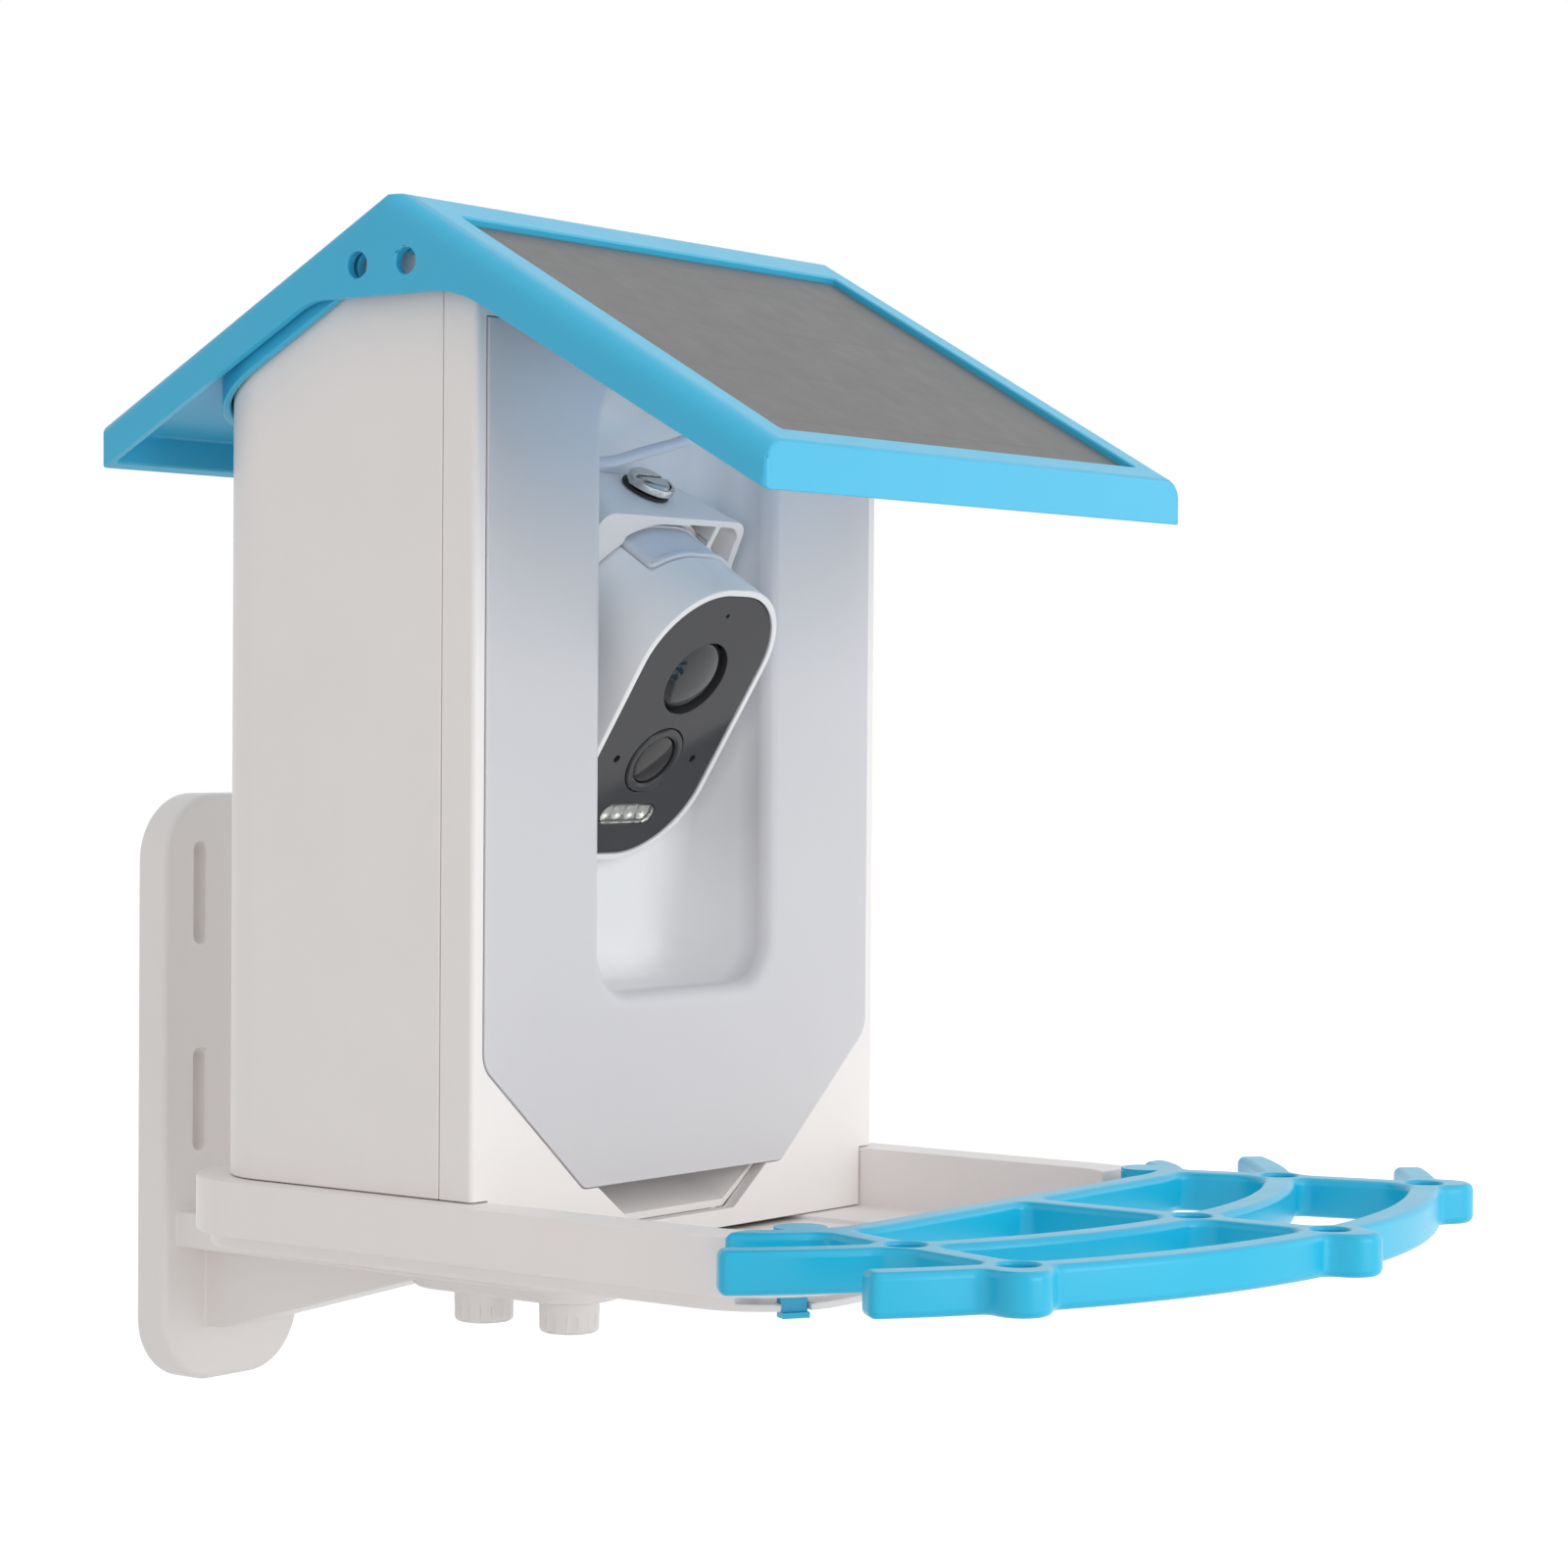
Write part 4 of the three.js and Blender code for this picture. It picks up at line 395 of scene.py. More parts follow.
class Surface:
    """A node material built up step by step"""

    def __init__(self, name, color, rough, **sockets):
        self.material = bpy.data.materials.new(name)
        self.material.use_nodes = True
        self.tree = self.material.node_tree
        self.shader = self.tree.nodes["Principled BSDF"]
        self.out = self.tree.nodes["Material Output"].inputs["Surface"]
        self.color, self.rough = color, rough
        for key, value in {"Base_Color": (*color, 1.0), "Roughness": rough, **sockets}.items():
            self.shader.inputs[key.replace("_", " ")].default_value = value
        self.place = self.add("TexCoord", {})["Object"]

    def add(self, kind, sockets, **settings):
        return add(self.tree, kind, sockets, **settings)

    def feed(self, socket, source):
        self.tree.links.new(source, self.shader.inputs[socket])

    def noise(self, scale, detail=3.0, rough=0.5, stretch=None):
        place = self.place
        if stretch:
            place = self.add("Mapping", {"Vector": place, "Scale": stretch})["Vector"]
        sockets = {"Scale": scale, "Detail": detail, "Roughness": rough, "Vector": place}
        return self.add("TexNoise", sockets)["Fac"]

    def axis(self, name):
        return self.add("SeparateXYZ", {"Vector": self.place})[name]

    def spread(self, fac, low, high, start=0.0, end=1.0):
        return self.add("MapRange", {"Value": fac, "From Min": start, "From Max": end, "To Min": low,
                                     "To Max": high})["Result"]

    def blend(self, fac, first, second):
        """Base colour between two"""
        made = self.add("Mix", {"Factor": fac, "A": first, "B": second}, data_type="RGBA")["Result"]
        self.feed("Base Color", made)
        return made

    def vary_color(self, fac, amount, start=0.3, end=0.7):
        """Colour that wanders a little round its own value"""
        down, up = [(*[min(1.0, c * share) for c in self.color], 1.0) for share in (1 - amount, 1 + amount)]
        return self.blend(self.spread(fac, 0.0, 1.0, start, end), down, up)

    def vary_rough(self, fac, amount):
        self.feed("Roughness", self.spread(fac, self.rough - amount, self.rough + amount, 0.25, 0.75))

    def bump(self, height, strength, distance):
        made = {"Height": height, "Strength": strength, "Distance": distance}
        last = self.shader.inputs["Normal"].links
        if last:
            made["Normal"] = last[0].from_socket
        self.feed("Normal", self.add("Bump", made)["Normal"])


def finish(name, color, rough, flow, gloss, *bumps, **sockets):
    """A surface whose colour and gloss wander and that has bumps, each a noise with its amount at the end"""
    made = Surface(name, color, rough, **sockets)
    made.vary_color(made.noise(*flow[:-1]), flow[-1])
    made.vary_rough(made.noise(*gloss[:-1]), gloss[-1])
    for *noise, strength, distance in bumps:
        made.bump(made.noise(*noise), strength, distance)
    return made


def srgb(*values):
    """Linear colour from 0 to 255 display values"""
    return tuple((v / 255 / 12.92) if v <= 10 else ((v / 255 + 0.055) / 1.055) ** 2.4 for v in values)


WAVES = (35.0, 2.0, 0.4, 0.05, 0.0004)


def moulded(name, color, rough, grain=1800.0, bump=0.12, gloss=0.035, **sockets):
    """Moulded plastic: a fine spark-eroded grain, faint flow in the colour and slight changes of gloss"""
    return finish(name, srgb(*color), rough, (22.0, 4.0, 0.6, 0.012), (60.0, 5.0, 0.65, gloss),
                  (grain, 2.0, 0.6, bump, 0.00006), WAVES, **sockets).material


def metal(name, color, rough):
    """Turned or drawn metal with fine lines and a few dull spots"""
    return finish(name, srgb(*color), rough, (140.0, 4.0, 0.6, 0.06), (600.0, 3.0, 0.7, 0.08),
                  (600.0, 2.0, 0.6, 0.12, 0.00003), Metallic=1.0).material


def clear(name, color, rough, weight):
    return finish(name, srgb(*color), rough, (120.0, 2.0, 0.02), (240.0, 4.0, rough * 0.5),
                  (60.0, 1.0, 0.02, 0.0001), Transmission_Weight=weight, IOR=1.49).material


def frosted():
    """Frosted translucent plastic: light scatters in it and some comes through, and its colour is painted paler
    deeper into the pocket, painted light that lifts the shade there
    """
    made = Surface("frosted_plastic", srgb(212, 211, 214), 0.4, Subsurface_Weight=1.0, Subsurface_Scale=0.0012,
                   Subsurface_Radius=(1.0, 1.0, 1.0), IOR=1.46, Specular_IOR_Level=0.45)
    sheet = made.vary_color(made.noise(14.0, 3.0, 0.5), 0.01)
    # Painted light: deeper into the pocket the colour turns to a paler white, standing in for light in the pocket's
    # shade
    painted_light_from_y, painted_light_full_y = -0.1838, -0.174
    made.blend(made.spread(made.axis("Y"), 0.0, 1.0, painted_light_from_y, painted_light_full_y), sheet, (*srgb(245, 245, 247), 1.0))
    made.vary_rough(made.noise(70.0, 4.0, 0.6), 0.04)
    made.bump(made.noise(2200.0, 2.0, 0.5), 0.14, 0.00005)
    made.bump(made.noise(16.0, 2.0, 0.4), 0.05, 0.0006)
    through = made.add("BsdfTransparent", {"Color": (0.6, 0.6, 0.62, 1.0)})[0]
    shadow = made.add("LightPath", {})["Is Shadow Ray"]
    made.tree.links.new(made.add("MixShader", {0: shadow, 1: made.shader.outputs[0], 2: through})[0], made.out)
    return made.material


def solar():
    """Laminated cells: dark grey with faint cell lines across it and finer collector lines down it"""
    made = Surface("solar_glass", srgb(92, 92, 92), 0.42, Specular_IOR_Level=0.4)

    def lines(name, pitch, phase, width, soft):
        """One where a line runs, repeated at a pitch"""
        move = made.add("Math", {0: made.axis(name), 1: 1 / pitch, 2: phase}, operation="MULTIPLY_ADD")[0]
        wave = made.add("Math", {0: move, 1: 0.5}, operation="PINGPONG")[0]
        return made.spread(wave, 1.0, 0.0, width / pitch, (width + soft) / pitch)

    cells = lines("Y", 0.026, 0.25, 0.0002, 0.0003)
    fingers = made.spread(lines("X", 0.0105, 0.5, 0.00008, 0.00016), 0.0, 0.55)
    total = made.add("Math", {0: cells, 1: fingers}, operation="MAXIMUM")[0]
    made.blend(total, made.vary_color(made.noise(40.0, 5.0, 0.65), 0.04), (*srgb(86, 86, 87), 1.0))
    made.vary_rough(made.noise(120.0, 5.0, 0.7), 0.04)
    made.bump(lines("X", 0.0009, 0.0, 0.00014, 0.0002), 0.05, 0.00004)
    made.bump(made.noise(900.0, 2.0), 0.08, 0.00005)
    return made.material


def board():
    made = Surface("circuit_board", srgb(24, 92, 56), 0.35)
    tracks = made.noise(420.0, 2.0, 0.4, (1.0, 0.2, 1.0))
    made.vary_color(tracks, 0.25, 0.45, 0.55)
    made.vary_rough(made.noise(90.0), 0.05)
    made.bump(tracks, 0.2, 0.00005)
    return made.material


WHITE = moulded("white_plastic", (242, 238, 236), 0.42, Specular_IOR_Level=0.5)
TRAY_WHITE = moulded("white_plastic_tray", (243, 238, 236), 0.4)
BLUE = moulded("blue_plastic", (58, 183, 223), 0.33, grain=1400.0, bump=0.06)
PERCH_BLUE = finish("blue_plastic_perch", srgb(22, 184, 224), 0.3, (22.0, 4.0, 0.6, 0.015),
                    (60.0, 5.0, 0.65, 0.035), (900.0, 2.0, 0.5, (1.0, 0.08, 1.0), 0.1, 0.00008), WAVES).material
SILICONE = moulded("white_silicone", (214, 218, 226), 0.55, grain=2400.0, bump=0.2)
CAMERA_WHITE = moulded("camera_white", (243, 243, 244), 0.26, grain=2600.0, bump=0.025, gloss=0.012,
                       Coat_Weight=0.15, Coat_Roughness=0.2)
BLACK = moulded("black_plastic", (38, 38, 40), 0.4, grain=2000.0, bump=0.15)
BLACK_RUBBER = moulded("black_rubber", (30, 30, 31), 0.65, grain=2600.0, bump=0.3)
STEEL = metal("bright_steel", (200, 199, 197), 0.24)
REFLECTOR = metal("lamp_reflector", (238, 235, 228), 0.38)
BRASS = metal("brass", (214, 186, 120), 0.3)
FACE = finish("black_gloss", srgb(60, 60, 63), 0.13, (30.0, 3.0, 0.03), (90.0, 5.0, 0.7, 0.025),
              (18.0, 1.0, 0.03, 0.0003), IOR=1.33).material
FROSTED = frosted()
CLEAR = clear("clear_plastic", (240, 241, 241), 0.02, 0.96)
SMOKED = clear("smoked_lens", (44, 46, 50), 0.04, 0.3)
LENS = clear("clear_glass", (50, 48, 50), 0.02, 0.6)
SOLAR = solar()
BOARD = board()
CELL = moulded("cell_wrap", (64, 120, 178), 0.25, grain=900.0, bump=0.05)


# Places that pieces share: the house posts, hand screws, cradle screws, ring screw and the lead's grommets
POSTS = [(s * 82, y) for s in SIDES for y in (22, 72)]
HAND_SCREWS = (41, 72.7)
CRADLE_SCREW_X, CRADLE_SCREW_Z = 14, 66
RING_SCREW_Y = 44
GROMMET_REAR, GROMMET_TOP = (-23, 192.5), (22.2, 9.2)
SCREW_HOLE, SCREW_PILOT, PIN_HOLE = 3.3, 1.8, 1.6

# Roof: two slopes with deep eaves, a hollow below, a recess for the panel and a skirt round the house
ROOF_HALF = 95.0
RIDGE_Y, RIDGE_Z = 23.4, 259.3
FRONT_RUN, REAR_RUN = 121.4, 106.4
FRONT_PITCH, REAR_PITCH = radians(29.5), radians(28.0)
ROOF_FRONT, ROOF_REAR = RIDGE_Y - FRONT_RUN, RIDGE_Y + REAR_RUN
ROOF_WALL, GABLE_WALL = 3.0, 3.1
EAVE_FRONT, EAVE_REAR = 12.3, 11.6
GABLE_Z, GABLE_FRONT_Y, GABLE_REAR_Y = 232.0, 1.2, 52.0
GABLE_HOLE_YS, GABLE_HOLE_Z = (17.85, 34.7), 240.2
SKIRT_IN, SKIRT_OUT, SKIRT_DROP, SKIRT_Y = 0.8, 3.1, 15.2, 14
PANEL_HALF, PANEL_TOP, PANEL_FOOT, PANEL_SINK, PANEL_THICK = 81.0, 13.8, 132.6, 1.9, 2.6
PANEL_SEAT, PANEL_LEDGE = 4, 5
HINGE_Y, HINGE_Z, HINGE_X = 103.6, 200.0, 52.0
KNUCKLE, KNUCKLE_WIDTH, KNUCKLE_SIDE = 3.8, 12.0, 6.0
HOUSE_HALF, HOUSE_REAR, HOUSE_CORNER, HOUSE_WALL = 87.4, 99.3, 22.0, 2.5
RIDGE = shift(0, RIDGE_Y, RIDGE_Z)
SLOPE = RIDGE @ tilt(FRONT_PITCH)


def roof_top(y):
    run, pitch = (RIDGE_Y - y, FRONT_PITCH) if y < RIDGE_Y else (y - RIDGE_Y, REAR_PITCH)
    return RIDGE_Z - run * tan(pitch)


def slope_bar(angle, fillet):
    """All below one slope, its side edges rounded"""
    reach = FRONT_RUN + REAR_RUN
    return place(prism(rect(ROOF_HALF, reach, fillet, 0, -reach, 10), -reach, reach, FRONT),
                 RIDGE @ tilt(angle))


def slope_block(half, u0, u1, depth0, depth1, corner=0.0):
    """A block let into the front slope, between two distances from the ridge and two depths"""
    plan = rect(half, (u1 - u0) / 2, corner, 0, -(u0 + u1) / 2, 6)
    return place(prism(plan, -depth1, -depth0), SLOPE)


def house_plan(offset, front_y, steps=16):
    return four_corners(HOUSE_HALF + offset, front_y, 0, HOUSE_REAR + offset, HOUSE_CORNER + offset, steps)


def under_roof(drop, y0, y1, half):
    low, top = -20, [(y, roof_top(y) - drop) for y in (y1, RIDGE_Y, y0)]
    return prism([(y0, low), (y1, low), *top], -half, half, SIDE)


def knuckle(x0, x1, web):
    return join(rod(KNUCKLE, x0, x1, HINGE_Y, HINGE_Z, 32, SIDE), prism(web, x0, x1, SIDE))


def pin_holes():
    reach = KNUCKLE_WIDTH / 2 + GAP + KNUCKLE_SIDE + OVER
    return [rod(PIN_HOLE, x - reach, x + reach, HINGE_Y, HINGE_Z, 24, SIDE) for x in (-HINGE_X, HINGE_X)]


def roof_shell():
    front_eave, rear_eave = roof_top(ROOF_FRONT) - EAVE_FRONT, roof_top(ROOF_REAR) - EAVE_REAR
    profile = outlined([
        (ROOF_FRONT, front_eave, 0), (GABLE_FRONT_Y, GABLE_Z, 36), (GABLE_REAR_Y, GABLE_Z, 20),
        (ROOF_REAR, rear_eave, 0), (ROOF_REAR, roof_top(ROOF_REAR), 2), (RIDGE_Y, RIDGE_Z, 9),
        (ROOF_FRONT, roof_top(ROOF_FRONT), 2)], 10)
    plan = rect(ROOF_HALF, (ROOF_REAR - ROOF_FRONT) / 2, 2.0, 0, (ROOF_REAR + ROOF_FRONT) / 2, 6)
    outer = common(prism(profile, -ROOF_HALF, ROOF_HALF, SIDE), slope_bar(FRONT_PITCH, 7.0),
                   slope_bar(-REAR_PITCH, 3.5), prism(plan, 0, RIDGE_Z + OVER))
    drop, sag = ROOF_WALL / cos(FRONT_PITCH), 2.25
    y0, y1, inner_half = ROOF_FRONT + ROOF_WALL, ROOF_REAR - ROOF_WALL, ROOF_HALF - GABLE_WALL
    hollow = prism([(y0, front_eave - 9), (y1, front_eave - 9), (y1, roof_top(y1) - drop),
                    (RIDGE_Y, RIDGE_Z - drop - sag), (y0, roof_top(y0) - drop)], -inner_half, inner_half, SIDE)
    depth = PANEL_SINK + PANEL_THICK
    foot = min(PANEL_FOOT + PANEL_SEAT, FRONT_RUN / cos(FRONT_PITCH) - ROOF_WALL)
    seat = slope_block(PANEL_HALF + PANEL_SEAT, PANEL_TOP - PANEL_SEAT, foot, ROOF_WALL / 2, depth + 2)
    recess = slope_block(PANEL_HALF, PANEL_TOP, PANEL_FOOT, -9.0, depth, 1.2)
    window = slope_block(PANEL_HALF - PANEL_LEDGE, PANEL_TOP + PANEL_LEDGE, PANEL_FOOT - PANEL_LEDGE, -OVER,
                         depth + 2 + OVER, 1.5)
    holes = [rod(3.4, -ROOF_HALF - OVER, ROOF_HALF + OVER, y, GABLE_HOLE_Z, 40, SIDE) for y in GABLE_HOLE_YS]
    ring = cut(prism(house_plan(SKIRT_OUT, SKIRT_Y), rear_eave - 3, RIDGE_Z),
               prism(house_plan(SKIRT_IN, SKIRT_Y - 1), 0, RIDGE_Z + OVER))
    band = cut(under_roof(ROOF_WALL / 2, SKIRT_Y, y1, inner_half),
               under_roof(SKIRT_DROP, SKIRT_Y - 1, y1 + OVER, ROOF_HALF))
    reach = KNUCKLE_WIDTH / 2 + GAP
    notches = side_boxes(HINGE_X - reach, HINGE_X + reach, HOUSE_REAR, y1, HINGE_Z - KNUCKLE,
                         HINGE_Z + KNUCKLE + 2 * GAP)
    skirt = cut(common(ring, band), *notches)
    rise = roof_top(HINGE_Y) - ROOF_WALL
    web = [(HOUSE_REAR + SKIRT_IN, HINGE_Z), (HINGE_Y + KNUCKLE / 2, HINGE_Z),
           (HOUSE_REAR + SKIRT_OUT + KNUCKLE / 2, rise), (HOUSE_REAR + SKIRT_IN, rise)]
    knuckles = [knuckle(x, x + KNUCKLE_SIDE, web) for s in SIDES
                for x in (s * HINGE_X - reach - KNUCKLE_SIDE, s * HINGE_X + reach)]
    bare = cut(join(cut(outer, hollow), common(seat, outer)), recess, window)
    return cut(join(bare, skirt, *knuckles), *holes, *pin_holes())


piece("roof_cover", roof_shell(), "roof_shell", BLUE, edge=0.55, angle=radians(38))
panel = rect(PANEL_HALF - GAP, (PANEL_FOOT - PANEL_TOP) / 2 - GAP, 1.9, steps=6)
piece("solar_sheet", prism(panel, -PANEL_THICK + GAP, 0, edge=0.3), "solar_panel", SOLAR,
      matrix=SLOPE @ shift(0, -(PANEL_TOP + PANEL_FOOT) / 2, -PANEL_SINK))


# House shell and front frame
def house_shell():
    shell = cut(prism(house_plan(0, 11.6, 24), GAP, RIDGE_Z),
                prism(house_plan(-HOUSE_WALL, 10.3, 24), -OVER, RIDGE_Z + OVER))
    shell = common(shell, under_roof(8.8, 0, HOUSE_REAR + OVER, HOUSE_HALF + OVER))
    wall, top, rib = HOUSE_HALF - HOUSE_WALL / 2, 14.3, HOUSE_WALL / 2
    posts = [join(rod(4, GAP, top, x, y, 32), box(*sorted((x, copysign(wall, x))), y - rib, y + rib, GAP, top))
             for x, y in POSTS]
    pilots = [rod(SCREW_PILOT, -OVER, 10, x, y, 24) for x, y in POSTS]
    web = [(HOUSE_REAR - 1.25, HINGE_Z - 12), (HOUSE_REAR, HINGE_Z - 12), (HINGE_Y + 1.9, HINGE_Z - 1.9),
           (HINGE_Y, HINGE_Z + 1.9), (HOUSE_REAR - 1.25, HINGE_Z + 1.9)]
    webs = [knuckle(x - KNUCKLE_WIDTH / 2, x + KNUCKLE_WIDTH / 2, web) for x in (-HINGE_X, HINGE_X)]
    return cut(join(shell, *posts, *webs), *pilots, *pin_holes())


piece("house_walls", house_shell(), "house_shell", WHITE, edge=0.35)

WINDOW_HALF, WINDOW_TOP, WINDOW_KNEE, WINDOW_FOOT_HALF, WINDOW_FOOT = 83.2, 226.0, 34.6, 43.0, -0.1
WINDOW_THICK, WINDOW_PROUD, WINDOW_CORNER = 2.4, 0.5, 8.0
HOOK_ZS, HOOK_TALL, HOOK_WIDE = (178.4, 116.1, 56.1), 17.0, 2.6
FRAME_THICK, FRAME_DEEP, FRAME_TOP = 4, 11.3, 234
OUTLET_HALF, OUTLET_TOP, OUTLET_FOOT_HALF, OUTLET_FOOT = 37.3, -0.1, 22, -11.5
TRAY_HALF, TRAY_FRONT, TRAY_REAR, TRAY_CORNER, TRAY_BAND = 94.4, -104.3, 110.0, 30.0, 14.8
TRAY_FLOOR_Z, TRAY_FOOT_Z, RIM = -16.8, -18.8, 12.9


def window_outline(offset):
    half, knee, foot = WINDOW_HALF + offset, WINDOW_KNEE - offset / 2, WINDOW_FOOT_HALF + offset / 2
    return outlined(with_twin([(-half, WINDOW_TOP + offset, 0), (-half, knee, WINDOW_CORNER),
                                      (-foot, WINDOW_FOOT - offset, WINDOW_CORNER / 2)]), 8)


def hook_blocks(slack, y0, y1):
    """Hooks behind the sheet's long edges, or with slack their slots in the frame"""
    x0, x1, half = WINDOW_HALF - HOOK_WIDE - slack, WINDOW_HALF + slack, HOOK_TALL / 2 + slack
    return [hook for z in HOOK_ZS for hook in side_boxes(x0, x1, y0, y1, z - half, z + half)]


def front_frame():
    inside, foot, behind = TRAY_HALF - RIM - GAP, TRAY_FLOOR_Z + GAP, FRAME_THICK + OVER
    face = prism([(-HOUSE_HALF, GAP), (-inside, GAP), (-inside, foot), (inside, foot), (inside, GAP),
                  (HOUSE_HALF, GAP), (HOUSE_HALF, FRAME_TOP), (-HOUSE_HALF, FRAME_TOP)], 0, FRAME_THICK, FRONT)
    flanges = side_boxes(HOUSE_HALF, HOUSE_HALF - HOUSE_WALL, 0, FRAME_DEEP, GAP, FRAME_TOP)
    rounding = prism(four_corners(HOUSE_HALF, 0, 1.6, FRAME_DEEP, 0, 6), foot, FRAME_TOP)
    rebate = prism(window_outline(GAP), -OVER, WINDOW_THICK - WINDOW_PROUD + GAP, FRONT)
    through = prism(window_outline(-4.0), -OVER, behind, FRONT)
    above = 5
    wide = OUTLET_HALF + (OUTLET_HALF - OUTLET_FOOT_HALF) / (OUTLET_TOP - OUTLET_FOOT) * above / 2
    funnel = with_twin([(-wide, OUTLET_TOP + above, 0), (-OUTLET_HALF, OUTLET_TOP, 0),
                        (-OUTLET_FOOT_HALF, OUTLET_FOOT, 3)])
    outlet = prism(outlined(funnel, 8), -OVER, behind, FRONT)
    return cut(common(join(face, *flanges), rounding), rebate, through, outlet, *hook_blocks(GAP, 0, behind))


piece("house_front", front_frame(), "front_frame", WHITE, edge=0.3)

# Window panel: a frosted sheet with a deep pocket for the camera moulded in it
CAMERA = shift(0, 5.38, 121.57) @ tilt(radians(32.74))
POCKET_HALF, POCKET_FOOT, POCKET_TOP = 36.2, 50.7, 212.5
POCKET_CORNER, POCKET_FLARE, POCKET_ROUND = 12.0, 4.5, 9.0
BODY_HALF, BODY_TALL, BODY_CORNER, BODY_DEPTH = 27.4, 43.95, 24.3, 62.0
CRADLE_FRONT, HOOD_REAR, HOOD_TOP, CRADLE_REAR = 29.5, 53.0, 48.9, 66.0
SLEEVE_OUT, SLEEVE_IN, PLUG_HOLE, PORT_HALF = 2.6, 0.6, 4.3, 17.9


def pocket_back(z):
    return 24.5 + (193.0 - z) * 0.11


def pocket_form(offset, mouth):
    """The pocket moved outwards, open to a depth in front of its flare or starting at the flare"""
    middle, tall = (POCKET_TOP + POCKET_FOOT) / 2, (POCKET_TOP - POCKET_FOOT) / 2 + offset

    def ring(grow, corner, depth):
        outline = rect(POCKET_HALF + offset + grow, tall + grow, corner, 0, middle, 12)
        return [(x, depth(z), z) for x, z in outline]

    rings = [] if mouth is None else [ring(POCKET_FLARE, POCKET_CORNER + POCKET_FLARE, lambda z: mouth)]
    for rise, grow in rim(POCKET_FLARE, 8):
        rings.append(ring(grow, POCKET_CORNER + grow, lambda z: rise - WINDOW_PROUD))
    for shrink, rise in rim(POCKET_ROUND, 8):
        rings.append(ring(-shrink, POCKET_CORNER - shrink / 2, lambda z: pocket_back(z) - rise + offset))
    return skin(rings)


def body_outline(offset):
    return rect(BODY_HALF + offset, BODY_TALL + offset, BODY_CORNER + offset, steps=24)


def body_form(offset, y0, y1, **edges):
    """The camera body's outline moved outwards and stretched along the view axis"""
    return prism(body_outline(offset), y0, y1, FRONT, **edges)


def hood_form(offset, *depths):
    """The hood between two depths, narrower to its rear, moved outwards"""
    rings = []
    for y in depths:
        share = (y - CRADLE_FRONT) / (HOOD_REAR - CRADLE_FRONT)
        foot, flare, top = [a + (b - a) * share + offset for a, b in zip((30, 33.8, 30.8), (30, 28.5, 17))]
        half = [(foot, 20 - offset, 0), (flare, 34, 5), (top, HOOD_TOP + offset, 5)]
        rings.append([(x, y, z) for x, z in outlined(with_twin(half), 6)])
    return skin(rings)


def cradle_rods(radius, y0, y1, steps=24):
    return [rod(radius, y0, y1, s * CRADLE_SCREW_X, CRADLE_SCREW_Z, steps, FRONT) for s in SIDES]


def window_panel():
    back = WINDOW_THICK - WINDOW_PROUD
    plate = prism(window_outline(0), -WINDOW_PROUD, back, FRONT, edge=0.4)
    behind = box(-ROOF_HALF, ROOF_HALF, 0, HOUSE_REAR, 0, RIDGE_Z)
    hollow = pocket_form(0, -WINDOW_PROUD - OVER)
    camera_hole = place(body_form(3.2, -BODY_DEPTH / 2, CRADLE_REAR + BODY_DEPTH), CAMERA)
    hood_hole = place(hood_form(2 * GAP, CRADLE_FRONT, HOOD_REAR + 2 * GAP), CAMERA)
    band = box(-ROOF_HALF, ROOF_HALF, POCKET_FLARE + 2, HOUSE_REAR, POCKET_FOOT + 2, POCKET_TOP)
    boss, grommet = pocket_back(CRADLE_SCREW_Z) + 2, pocket_back(GROMMET_REAR[1])
    body = join(plate, common(pocket_form(2.0, None), behind), *cradle_rods(4, boss - 1, boss + 5, 32),
                *hook_blocks(0, back - 1, FRAME_THICK))
    return cut(body, hollow, common(join(camera_hole, hood_hole), band), *cradle_rods(SCREW_PILOT, boss, boss + 6),
               rod(3.7, grommet - 2, grommet + 4, *GROMMET_REAR, 32, FRONT),
               rod(3.7, POCKET_TOP - 2, POCKET_TOP + 4, *GROMMET_TOP, 32))


piece("window_sheet", window_panel(), "window_panel", FROSTED, edge=0.35)


# Camera cradle: a sleeve with a hood, its front edge opened over the port
def camera_cradle():
    upper = (0, BODY_DEPTH, 0, ROOF_HALF)
    room = cut(hood_form(-2.0, CRADLE_FRONT - OVER, HOOD_REAR - 10),
               body_form(SLEEVE_OUT, CRADLE_FRONT - 2, HOOD_REAR),
               box(-ROOF_HALF, 6.5, *upper), box(18, 20, *upper))
    lift = common(body_form(SLEEVE_OUT, CRADLE_FRONT - OVER, 34.8),
                  box(-PORT_HALF, PORT_HALF, 0, BODY_DEPTH, 20, ROOF_HALF))
    sleeve = join(body_form(SLEEVE_OUT, CRADLE_FRONT, CRADLE_REAR),
                  cut(hood_form(0, CRADLE_FRONT, HOOD_REAR), room))
    sleeve = cut(sleeve, body_form(SLEEVE_IN, CRADLE_FRONT - OVER, CRADLE_REAR - 2), lift,
                 rod(SCREW_HOLE, 0, ROOF_HALF, 0, RING_SCREW_Y),
                 rod(PLUG_HOLE, BODY_DEPTH, CRADLE_REAR + OVER, way=FRONT))
    y = pocket_back(60) + 7.3
    tab = prism([(y, 60), (y + 2, 60), (y + 4, 86), (60, 101), (60, 106), (y + 5, 106), (y, 86)], -20, 20, SIDE)
    tab = cut(tab, place(body_form(SLEEVE_IN, -BODY_DEPTH, CRADLE_REAR - 2), CAMERA))
    return cut(join(place(sleeve, CAMERA), tab), *cradle_rods(SCREW_PILOT, y - OVER, y + 20))


piece("camera_hood", camera_cradle(), "camera_cradle", WHITE, edge=0.35)

PORT_Y, WALL = 25.75, 1.9
PIR_Z, LENS_Z, LED_Z = 15.4, -11.1, -28.9


